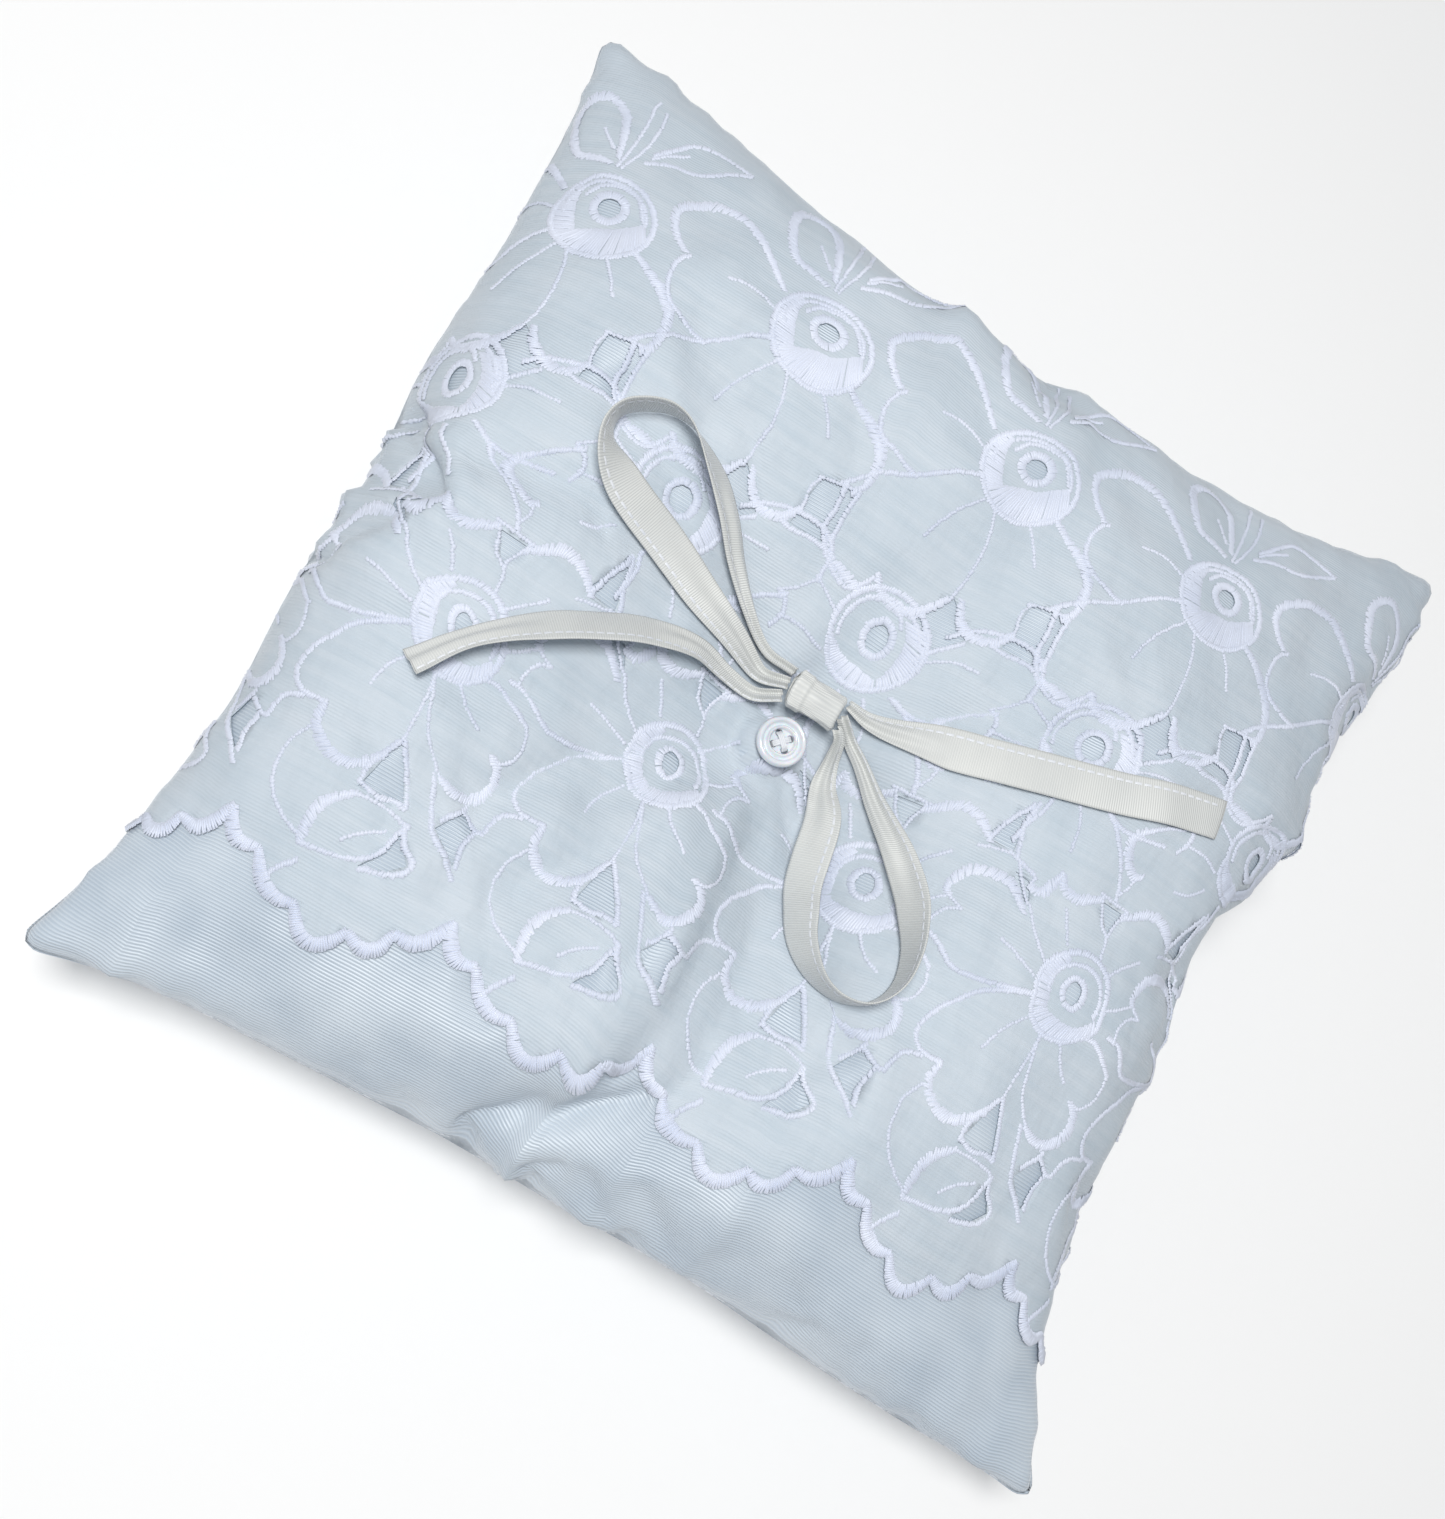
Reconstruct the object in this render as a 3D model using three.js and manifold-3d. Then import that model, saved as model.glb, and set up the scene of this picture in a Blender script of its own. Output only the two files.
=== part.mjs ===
// Ring bearer pillow: a tufted square pillow with an embroidered lace overlay, a button and a ribbon bow.
// Millimetres, +Z up. The pillow lies on its back panel at z = 0, centred on x = y = 0.
// The lace overlay's free, scalloped hem faces -Y; the bow lies on the front panel beside the button.
import * as THREE from "three";
import { mergeVertices } from "three/addons/utils/BufferGeometryUtils.js";
import Module from "manifold-3d";

const wasm = await Module();
wasm.setup();

// ---- Driving dimensions ----
const HALF = 125; // half the distance between two neighbouring corners
const BACK_RISE = 35; // seam above the flat resting face
const FRONT_LOBE = 44; // crown of the front panel above the seam, before the button pulls it in
const BACK_LOBE = 50; // crown of the back panel, before the rest face flattens it
const BULGE = 0.42; // exponent of the crown: how steeply the panels rise from the seam
const DIP_DEPTH = 0.6; // share of the crown that the button takes away
const DIP_RADIUS = 45;
const PULL = { left: 13, right: 19, bottom: 7, top: 9 }; // how far each side is drawn in at its middle
const CLOTH = 1;
const GAP = 0.3; // clearance between touching pieces
const SEAM_Z = BACK_RISE + CLOTH + GAP / 2;

const BUTTON_AT = new THREE.Vector2(-10.5, -11.5);
const BUTTON_RADIUS = 5.7;
const BUTTON_THICKNESS = 2.6;
const BUTTON_HOLE_RADIUS = 0.9;
const BUTTON_HOLE_OFFSET = 1.45;
const THREAD_RADIUS = 0.5;
const TUFT_RADIUS = 0.7;

const KNOT_AT = new THREE.Vector2(-8.5, 0);
const KNOT_LENGTH = 12.2;
const KNOT_WIDTH = 8.8;
const KNOT_HEIGHT = 3.4;
const RIBBON_WIDTH = 9.5;
const RIBBON_THICKNESS = 0.7;

const LACE = 0.6;
const HEM_LINE = -80; // y of the line between the lace and its scalloped hem
const HEM_DEPTH = 17; // from that line to the lowest scallop
const FLOWER_PITCH = 52;
const FLOWER_RADIUS = 9;

// ---- Materials ----
const cloth = (color, roughness) => new THREE.MeshStandardMaterial({ color, roughness, metalness: 0 });
const faille = cloth(0xcdd7de, 0.55);
const organza = cloth(0xd2dce6, 0.5);
const embroidery = cloth(0xe4e9f5, 0.6);
const stuffing = cloth(0xf4f4f2, 0.95);
const ribbon = cloth(0xe4e3da, 0.45);
const thread = cloth(0xf0f0f0, 0.6);
const pearl = cloth(0xeceef0, 0.15);

// ---- Small tools ----
const group = new THREE.Group();

function piece(name, geometry, material) {
  const mesh = new THREE.Mesh(geometry, material);
  mesh.name = name;
  group.add(mesh);
  return mesh;
}

// A closed body between two grids of points, top(i, j) and bottom(i, j), with i along and j across.
// A looped slab joins its last column to its first.
function slab(along, across, top, bottom, looped = false) {
  const columns = looped ? along : along + 1;
  const layer = columns * (across + 1);
  const at = (i, j, under) => (i % columns) * (across + 1) + j + (under ? layer : 0);
  const points = [];
  for (const side of [top, bottom]) {
    for (let i = 0; i < columns; i++) {
      for (let j = 0; j <= across; j++) points.push(...side(i, j).toArray());
    }
  }
  const faces = [];
  const quad = (a, b, c, d) => faces.push(a, b, c, a, c, d);
  for (let i = 0; i < along; i++) {
    for (let j = 0; j < across; j++) {
      quad(at(i, j), at(i + 1, j), at(i + 1, j + 1), at(i, j + 1));
      quad(at(i, j, true), at(i, j + 1, true), at(i + 1, j + 1, true), at(i + 1, j, true));
    }
    quad(at(i, 0, true), at(i + 1, 0, true), at(i + 1, 0), at(i, 0));
    quad(at(i + 1, across, true), at(i, across, true), at(i, across), at(i + 1, across));
  }
  if (!looped) {
    for (let j = 0; j < across; j++) {
      quad(at(0, j + 1, true), at(0, j, true), at(0, j), at(0, j + 1));
      quad(at(along, j, true), at(along, j + 1, true), at(along, j + 1), at(along, j));
    }
  }
  return new THREE.BufferGeometry()
    .setAttribute("position", new THREE.Float32BufferAttribute(points, 3))
    .setIndex(faces);
}

function toSolid(geometry) {
  const bare = geometry.clone();
  bare.deleteAttribute("normal");
  bare.deleteAttribute("uv");
  const merged = mergeVertices(bare, 1e-4);
  return new wasm.Manifold(
    new wasm.Mesh({
      numProp: 3,
      vertProperties: merged.attributes.position.array,
      triVerts: new Uint32Array(merged.index.array),
    }),
  );
}

function toGeometry(solid) {
  const mesh = solid.getMesh();
  return new THREE.BufferGeometry()
    .setAttribute("position", new THREE.BufferAttribute(mesh.vertProperties, 3))
    .setIndex(new THREE.BufferAttribute(mesh.triVerts, 1));
}

// An upright round bar between two heights.
function bar(x, y, low, high, radius, sides = 12) {
  return new THREE.CylinderGeometry(radius, radius, high - low, sides)
    .rotateX(Math.PI / 2)
    .translate(x, y, (low + high) / 2);
}

// The button's thread passes through every layer of the pillow.
function pierced(geometry) {
  const hole = toSolid(bar(BUTTON_AT.x, BUTTON_AT.y, -5, 90, TUFT_RADIUS + 2 * GAP));
  return toGeometry(toSolid(geometry).subtract(hole));
}

// ---- The pillow's surface, over s and t from -1 to 1 ----
function plan(s, t) {
  const pullX = s < 0 ? PULL.left : PULL.right;
  const pullY = t < 0 ? PULL.bottom : PULL.top;
  const x = HALF * s - pullX * s * s * s * s * Math.sign(s) * (1 - t * t);
  const y = HALF * t - pullY * t * t * t * t * Math.sign(t) * (1 - s * s);
  return new THREE.Vector2(x, y);
}

function crown(s, t, lobe) {
  const at = plan(s, t);
  const dip = Math.exp(-at.distanceToSquared(BUTTON_AT) / DIP_RADIUS ** 2);
  const rise = Math.max(0, (1 - s * s) * (1 - t * t)) ** BULGE;
  return lobe * rise * (1 - DIP_DEPTH * dip);
}

const frontRise = (s, t) => crown(s, t, FRONT_LOBE);
const backRise = (s, t) => Math.min(crown(s, t, BACK_LOBE), BACK_RISE);

// Grid lines crowd towards the seam, where the cloth is steepest.
const spread = (i, count) => (i === 0 ? -1 : i === count ? 1 : Math.sin(Math.PI * (i / count - 0.5)));

const lifted = (s, t, z, scale = 1) => {
  const at = plan(s, t).multiplyScalar(scale);
  return new THREE.Vector3(at.x, at.y, z);
};

const COVER_GRID = 24;
const INNER_SCALE = 0.994; // the inner face of a cover is drawn in by this much
const INNER_RISE = 0.985;

function frontCover() {
  const rim = SEAM_Z + GAP / 2;
  const side = (z, rise, scale) => (i, j) => {
    const s = spread(i, COVER_GRID);
    const t = spread(j, COVER_GRID);
    return lifted(s, t, rim + z + frontRise(s, t) * rise, scale);
  };
  return slab(COVER_GRID, COVER_GRID, side(CLOTH, 1, 1), side(0, INNER_RISE, INNER_SCALE));
}

function backCover() {
  const rim = SEAM_Z - GAP / 2;
  const side = (z, rise, scale) => (i, j) => {
    const s = spread(i, COVER_GRID);
    const t = spread(j, COVER_GRID);
    return lifted(s, t, rim - z - backRise(s, t) * rise, scale);
  };
  return slab(COVER_GRID, COVER_GRID, side(0, INNER_RISE, INNER_SCALE), side(CLOTH, 1, 1));
}

const FILL_GRID = 14;
const FILL_SCALE = 0.95;
const FILL_GAP = 4.5;

function fibrefill() {
  const side = (sign, rise) => (i, j) => {
    const s = spread(i, FILL_GRID) * FILL_SCALE;
    const t = spread(j, FILL_GRID) * FILL_SCALE;
    return lifted(s, t, SEAM_Z + sign * Math.max(rise(s, t) - FILL_GAP, GAP));
  };
  return slab(FILL_GRID, FILL_GRID, side(1, frontRise), side(-1, backRise));
}

// The lockstitched thread that holds front, back and lace together, just inside the seam.
const SEAM_STEPS = 18;
const SEAM_SCALE = 0.985;
const SEAM_THREAD = 0.8;

function seamThread() {
  const corners = [
    [-1, -1],
    [1, -1],
    [1, 1],
    [-1, 1],
  ];
  const side = (z) => (i, j) => {
    const edge = Math.floor(i / SEAM_STEPS);
    const [s0, t0] = corners[edge];
    const [s1, t1] = corners[(edge + 1) % 4];
    const k = (spread(i % SEAM_STEPS, SEAM_STEPS) + 1) / 2;
    const s = THREE.MathUtils.lerp(s0, s1, k);
    const t = THREE.MathUtils.lerp(t0, t1, k);
    return lifted(s, t, SEAM_Z + z, SEAM_SCALE - (j * SEAM_THREAD) / HALF);
  };
  return slab(4 * SEAM_STEPS, 1, side(SEAM_THREAD / 2), side(-SEAM_THREAD / 2), true);
}

// ---- Lace overlay ----
// The lace lies on the front panel from the hem line up to the far seam and shares its two side seams.
const LACE_FLOOR = SEAM_Z + GAP / 2 + CLOTH + 2 * GAP;
const HEM_ROW = HEM_LINE / HALF;

function laceOverlay() {
  const rows = [HEM_ROW];
  for (let j = 0; j <= COVER_GRID; j++) {
    if (spread(j, COVER_GRID) > HEM_ROW + 0.01) rows.push(spread(j, COVER_GRID));
  }
  const side = (z) => (i, j) => {
    const s = spread(i, COVER_GRID);
    return lifted(s, rows[j], LACE_FLOOR + z + frontRise(s, rows[j]));
  };
  return slab(COVER_GRID, rows.length - 1, side(LACE), side(0));
}

// Scallops: one deep one in every flower pitch, with three small ones inside it.
function scallop(x) {
  const phase = (Math.PI * (x + FLOWER_PITCH / 2)) / FLOWER_PITCH;
  const deep = Math.abs(Math.sin(phase));
  const small = Math.abs(Math.sin(3 * phase));
  return HEM_DEPTH * (0.3 + 0.55 * deep + 0.15 * small);
}

const HEM_STEPS = 96;
const HEM_ACROSS = 2;

// The surface of the dressed pillow straight above a point, found by looking down on the meshes.
const looker = new THREE.Raycaster();
const DOWN = new THREE.Vector3(0, 0, -1);

function surfaceOf(meshes) {
  return (x, y) => {
    looker.set(new THREE.Vector3(x, y, 200), DOWN);
    const hit = looker.intersectObjects(meshes)[0];
    return hit ? hit.point.z : SEAM_Z;
  };
}

function scallopedHem(surface) {
  const side = (z) => (i, j) => {
    const s = THREE.MathUtils.lerp(-0.97, 0.97, i / HEM_STEPS);
    const inner = plan(s, HEM_ROW);
    const drop = GAP + (scallop(inner.x) * (HEM_ACROSS - j)) / HEM_ACROSS;
    return new THREE.Vector3(inner.x, inner.y - drop, surface(inner.x, inner.y - drop) + z);
  };
  return slab(HEM_STEPS, HEM_ACROSS, side(3 * GAP + LACE), side(3 * GAP));
}

// The raised, satin-stitched ring round a flower's open eye.
const EYE_STEPS = 18;
const EYE_WIDTH = 2;
const EYE_HEIGHT = 0.8;

function flowerEye(x, y, surface) {
  const side = (z) => (i, j) => {
    const angle = (2 * Math.PI * i) / EYE_STEPS;
    const radius = FLOWER_RADIUS + EYE_WIDTH * (0.5 - j);
    const px = x + radius * Math.cos(angle);
    const py = y + radius * Math.sin(angle);
    return new THREE.Vector3(px, py, surface(px, py) + z);
  };
  return slab(EYE_STEPS, 1, side(2 * GAP + EYE_HEIGHT), side(2 * GAP), true);
}

const FLOWER_ROWS = [
  { y: 74, firstX: -99, count: 4 },
  { y: 23, firstX: -58, count: 3 },
  { y: -28, firstX: -79, count: 4 },
];

// ---- Button and its threads ----
const holeSpots = [
  [1, 1],
  [-1, 1],
  [-1, -1],
  [1, -1],
].map(([u, v]) => [BUTTON_AT.x + u * BUTTON_HOLE_OFFSET, BUTTON_AT.y + v * BUTTON_HOLE_OFFSET]);

function button(floor) {
  const r = BUTTON_RADIUS;
  const h = BUTTON_THICKNESS;
  const profile = [
    [0, 0],
    [0.8 * r, 0],
    [r, 0.45 * h],
    [0.97 * r, 0.85 * h],
    [0.86 * r, h],
    [0.68 * r, 0.72 * h],
    [0.55 * r, 0.85 * h],
    [0.46 * r, 0.55 * h],
    [0, 0.55 * h],
  ].map(([x, y]) => new THREE.Vector2(x, y));
  const disc = new THREE.LatheGeometry(profile, 32).rotateX(Math.PI / 2);
  let solid = toSolid(disc.translate(BUTTON_AT.x, BUTTON_AT.y, floor));
  for (const [x, y] of holeSpots) {
    solid = solid.subtract(toSolid(bar(x, y, floor - 1, floor + h, BUTTON_HOLE_RADIUS, 10)));
  }
  return toGeometry(solid);
}

// Two crossed stitches over the button, one leg down each hole, and the shank under the button.
function buttonThread(floor) {
  const face = floor + 0.55 * BUTTON_THICKNESS;
  const span = 2 * Math.SQRT2 * BUTTON_HOLE_OFFSET + 2 * THREAD_RADIUS;
  const shankTop = floor - GAP;
  let solid = toSolid(bar(BUTTON_AT.x, BUTTON_AT.y, shankTop - 0.8, shankTop, 2.6, 16));
  for (const [x, y] of holeSpots) {
    solid = solid.add(toSolid(bar(x, y, shankTop - 0.4, face + GAP + THREAD_RADIUS, THREAD_RADIUS, 8)));
  }
  for (const turn of [1, -1]) {
    const stitch = new THREE.BoxGeometry(span, 2 * THREAD_RADIUS, 2 * THREAD_RADIUS)
      .rotateZ((turn * Math.PI) / 4)
      .translate(BUTTON_AT.x, BUTTON_AT.y, face + GAP + THREAD_RADIUS);
    solid = solid.add(toSolid(stitch));
  }
  return toGeometry(solid);
}

// ---- Bow ----
const KNOT_LEFT = KNOT_AT.x - KNOT_LENGTH / 2 - 3 * GAP;
const KNOT_RIGHT = KNOT_AT.x + KNOT_LENGTH / 2 + 3 * GAP;

function knotFloor(surface) {
  const rows = [-0.5, 0, 0.5].map((v) => KNOT_AT.y + v * KNOT_WIDTH);
  return GAP + Math.max(...rows.flatMap((y) => [surface(KNOT_LEFT, y), surface(KNOT_RIGHT, y)]));
}

function bowKnot(base) {
  const steps = 8;
  const side = (rise) => (i, j) => {
    const v = j / steps - 0.5;
    const x = KNOT_AT.x + KNOT_LENGTH * (i - 0.5);
    const arch = Math.sqrt(1 - (1.8 * v) ** 2);
    return new THREE.Vector3(x, KNOT_AT.y + KNOT_WIDTH * v, base + rise * KNOT_HEIGHT * arch);
  };
  return slab(1, steps, side(1), side(0));
}

// The stitch that tacks the knot to the lace under it.
function bowTack(base, surface) {
  return bar(KNOT_AT.x, KNOT_AT.y, surface(KNOT_AT.x, KNOT_AT.y) + GAP, base - GAP, TUFT_RADIUS, 8);
}

// A strand of ribbon along hand-set points [x, y, lift, width, tilt]: lift is the height of its middle
// above the dressed pillow, and tilt turns it about its own run, 0 lying flat and 90 on edge.
const STRAND_STEP = 3.2;

function strand(points, surface) {
  const curve = new THREE.CatmullRomCurve3(points.map(([x, y]) => new THREE.Vector3(x, y, 0)));
  const traits = new THREE.CatmullRomCurve3(points.map(([, , lift, width, tilt]) => new THREE.Vector3(lift, width, tilt)));
  const steps = Math.round(curve.getLength() / STRAND_STEP);
  const frames = [];
  for (let i = 0; i <= steps; i++) {
    const k = curve.getUtoTmapping(i / steps);
    const at = curve.getPoint(k);
    const [lift, width, tilt] = traits.getPoint(k).toArray();
    const run = curve.getTangent(k);
    const angle = THREE.MathUtils.degToRad(tilt);
    const across = new THREE.Vector3(-run.y * Math.cos(angle), run.x * Math.cos(angle), Math.sin(angle));
    const half = across.clone().multiplyScalar(width / 2);
    const ends = [at.clone().sub(half), at.clone().add(half)];
    const floor = Math.max(...[at, ...ends].map((p) => surface(p.x, p.y)));
    at.z = Math.max(surface(at.x, at.y) + lift, floor + 3 * GAP + Math.abs(half.z) + RIBBON_THICKNESS);
    frames.push({ at, half, face: run.clone().cross(across).normalize() });
  }
  const side = (sign) => (i, j) => {
    const { at, half, face } = frames[i];
    return at
      .clone()
      .addScaledVector(half, 2 * j - 1)
      .addScaledVector(face, (sign * RIBBON_THICKNESS) / 2);
  };
  return slab(steps, 1, side(1), side(-1));
}

const PINCHED = 2.6; // width of a strand where the knot gathers it
const W = RIBBON_WIDTH;

const upperLoop = [
  [KNOT_LEFT, 0, 3, PINCHED, 0],
  [-21, -0.2, 3, 3.6, 0],
  [-30, 2.3, 3, 6, 0],
  [-43, 6, 3, 8.5, 0],
  [-57, 11, 3, W, 0],
  [-69, 15, 4, W, 10],
  [-77, 21, 6, W, 60],
  [-77, 28.5, 7, W, 85],
  [-70, 33.5, 7, W, 95],
  [-62, 33.5, 6, W, 110],
  [-53, 28.5, 5, W, 130],
  [-46, 22.5, 4, 8, 140],
  [-39, 16, 4, 6, 150],
  [-31, 9.6, 4, 4, 160],
  [-23, 5, 3, 3, 170],
  [KNOT_LEFT, 3.2, 3, PINCHED, 180],
];

const leftTail = [
  [KNOT_LEFT, -3.2, 3, PINCHED, 0],
  [-21, -5, 3, 3.2, 0],
  [-29, -5, 2.5, 4.4, 0],
  [-37, -5, 2, 7, 0],
  [-48, -8.5, 2, W, 0],
  [-58, -14, 2, W, 0],
  [-67, -20, 2, W, 0],
  [-75, -26.5, 2.5, 8, 25],
  [-81, -32.5, 3, 7, 40],
  [-87.5, -41.5, 3, 7, 30],
];

const rightTail = [
  [KNOT_RIGHT, 3, 3, PINCHED, 0],
  [4, 2.6, 3, 4, 0],
  [12, 3.2, 2.5, 6.5, 0],
  [22, 5, 2, W, 0],
  [32, 7, 2, W, 0],
  [45, 10, 2, W, 0],
  [59, 14, 2, W, 0],
  [73, 19, 2, W, 0],
  [84, 22.5, 2, W, 0],
];

const lowerLoop = [
  [KNOT_RIGHT, -3.2, 3, PINCHED, 0],
  [0.6, -4.6, 3, 3.2, 0],
  [2.4, -8.5, 3, 4, 0],
  [4, -14, 3, 6, 0],
  [6.5, -21, 3, 8.5, 0],
  [8, -30, 3.5, W, 0],
  [10.5, -40, 4.5, W, 15],
  [14.5, -49, 6, W, 55],
  [21, -55, 7, W, 85],
  [28.5, -55.5, 7, W, 90],
  [33.2, -49.5, 7, W, 90],
  [33.2, -41, 6.5, W, 100],
  [29.5, -31.5, 5.5, W, 120],
  [24, -23, 4.5, 8, 140],
  [18, -16, 4, 6, 155],
  [11, -9, 3, 4, 165],
  [4.5, -3.6, 3, 3, 175],
  [KNOT_RIGHT, 0, 3, PINCHED, 180],
];

// ---- Assembly ----
piece("back_cover", pierced(backCover()), faille);
const front = piece("front_cover", pierced(frontCover()), faille);
piece("fibrefill", pierced(fibrefill()), stuffing);
piece("seam_thread", seamThread(), thread);
const lace = piece("lace_overlay", pierced(laceOverlay()), organza);

const dressed = surfaceOf([front, lace]);
piece("lace_scalloped_hem", scallopedHem(dressed), embroidery);
const eyes = FLOWER_ROWS.flatMap(({ y, firstX, count }, row) =>
  Array.from({ length: count }, (_, k) => {
    const ring = flowerEye(firstX + k * FLOWER_PITCH, y, dressed);
    return piece(`flower_eye_${row + 1}_${k + 1}`, ring, embroidery);
  }),
);
const decorated = surfaceOf([front, lace, ...eyes]);

const tuftTop = dressed(BUTTON_AT.x + BUTTON_RADIUS, BUTTON_AT.y);
const buttonFloor = tuftTop + 1.4;
const threadTop = buttonFloor - 2 * GAP - 0.8;
const tuftBottom = SEAM_Z - GAP / 2 - CLOTH - crown(BUTTON_AT.x / HALF, BUTTON_AT.y / HALF, BACK_LOBE);
const KNOT_BALL = 2.4;
const backKnotZ = tuftBottom - KNOT_BALL - 2;
piece("button", button(buttonFloor), pearl);
piece("button_thread", buttonThread(buttonFloor), thread);
piece(
  "tufting_thread",
  bar(BUTTON_AT.x, BUTTON_AT.y, backKnotZ + KNOT_BALL + GAP, threadTop, TUFT_RADIUS),
  thread,
);
piece(
  "back_thread_knot",
  new THREE.SphereGeometry(KNOT_BALL, 12, 8).translate(BUTTON_AT.x, BUTTON_AT.y, backKnotZ),
  thread,
);

const knotBase = knotFloor(dressed);
piece("bow_knot", bowKnot(knotBase), ribbon);
piece("bow_tack_thread", bowTack(knotBase, dressed), thread);
piece("upper_bow_loop", strand(upperLoop, decorated), ribbon);
piece("lower_bow_loop", strand(lowerLoop, decorated), ribbon);
piece("left_ribbon_tail", strand(leftTail, decorated), ribbon);
piece("right_ribbon_tail", strand(rightTail, decorated), ribbon);

export default group;
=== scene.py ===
"""Ring bearer pillow: the looks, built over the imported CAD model.

Blender works in metres. Lengths here are in millimetres and become metres where a mesh is made, apart from
the light and the floor, which are in metres. Cloth coordinates u, v are millimetres on a flat panel, from
its middle.
"""

import math
from functools import partial

import bpy
import numpy as np
from mathutils import Matrix, Vector
from mathutils.bvhtree import BVHTree
from mathutils.geometry import delaunay_2d_cdt


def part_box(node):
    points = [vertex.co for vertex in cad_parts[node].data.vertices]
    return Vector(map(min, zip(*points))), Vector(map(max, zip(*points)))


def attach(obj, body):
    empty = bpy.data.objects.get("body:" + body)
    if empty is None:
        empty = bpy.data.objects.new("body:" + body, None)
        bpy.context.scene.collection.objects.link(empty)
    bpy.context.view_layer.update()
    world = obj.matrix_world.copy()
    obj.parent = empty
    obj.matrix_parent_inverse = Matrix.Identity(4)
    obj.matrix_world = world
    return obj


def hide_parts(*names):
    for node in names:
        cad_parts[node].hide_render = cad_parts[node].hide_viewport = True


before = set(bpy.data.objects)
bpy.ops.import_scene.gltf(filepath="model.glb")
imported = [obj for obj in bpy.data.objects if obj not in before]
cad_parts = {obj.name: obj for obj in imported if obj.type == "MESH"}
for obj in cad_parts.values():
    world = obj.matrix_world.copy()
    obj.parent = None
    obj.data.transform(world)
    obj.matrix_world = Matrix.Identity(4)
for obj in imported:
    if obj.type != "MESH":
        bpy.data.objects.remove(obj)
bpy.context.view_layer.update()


def cad_range(node):
    """The lowest and highest corner of a CAD node, in mm."""
    low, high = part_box(node)
    return np.array(low) * 1000, np.array(high) * 1000


MM = 0.001
HALF = 125.0  # half the distance between two neighbouring corners
SEAM_Z = float(np.mean([corner[2] for corner in cad_range("seam_thread")]))
BUTTON_LOW, BUTTON_HIGH = cad_range("button")
BUTTON = (BUTTON_LOW + BUTTON_HIGH) / 2
CROWN = cad_range("front_cover")[1][2] - SEAM_Z  # top of the front panel above the seam
rng = np.random.default_rng(7)


# ---- Camera, light and floor ----
CAMERA_AT = (-75.8, -128.5, 399.6 + SEAM_Z)
CAMERA_AIM = (-16.4, -15.0, SEAM_Z)
CAMERA_ROLL = 57.6
CAMERA_LENS = 43.1


def make_camera():
    data = bpy.data.cameras.new("camera")
    data.lens = CAMERA_LENS
    data.sensor_width = 36.0
    data.clip_start = 0.01
    camera = bpy.data.objects.new("camera", data)
    bpy.context.collection.objects.link(camera)
    at = Vector(CAMERA_AT) * MM
    turn = (Vector(CAMERA_AIM) * MM - at).to_track_quat("-Z", "Y").to_matrix().to_4x4()
    roll = Matrix.Rotation(math.radians(CAMERA_ROLL), 4, "Z")
    camera.matrix_world = Matrix.Translation(at) @ turn @ roll
    bpy.context.scene.camera = camera


def area_light(name, at, size, power, color):
    data = bpy.data.lights.new(name, "AREA")
    data.shape = "SQUARE"
    data.size = size
    data.energy = power
    data.color = color
    light = bpy.data.objects.new(name, data)
    bpy.context.collection.objects.link(light)
    light.location = at
    light.rotation_euler = (-Vector(at)).to_track_quat("-Z", "Y").to_euler()


def make_light():
    world = bpy.data.worlds.new("studio")
    world.use_nodes = True
    background = world.node_tree.nodes["Background"]
    background.inputs["Color"].default_value = (0.93, 0.96, 1.0, 1.0)
    background.inputs["Strength"].default_value = 0.34
    bpy.context.scene.world = world
    bpy.context.scene.view_settings.view_transform = "Standard"
    area_light("key", (-0.2, -0.1, 1.1), 0.3, 9.6, (1.0, 0.99, 0.97))


def make_floor():
    size = 1.5
    mesh = bpy.data.meshes.new("floor")
    corners = [(-size, -size, 0), (size, -size, 0), (size, size, 0), (-size, size, 0)]
    mesh.from_pydata(corners, [], [(0, 1, 2, 3)])
    floor = bpy.data.objects.new("floor", mesh)
    bpy.context.collection.objects.link(floor)
    mesh.materials.append(new_material("floor", (0.93, 0.93, 0.93), 0.9))


# ---- Materials ----
ORGANZA_RIB = 0.75  # pitch of its ribs


def new_material(name, color, roughness):
    material = bpy.data.materials.new(name)
    material.use_nodes = True
    shader = material.node_tree.nodes["Principled BSDF"]
    shader.inputs["Base Color"].default_value = (*color, 1.0)
    shader.inputs["Roughness"].default_value = roughness
    return material


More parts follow.
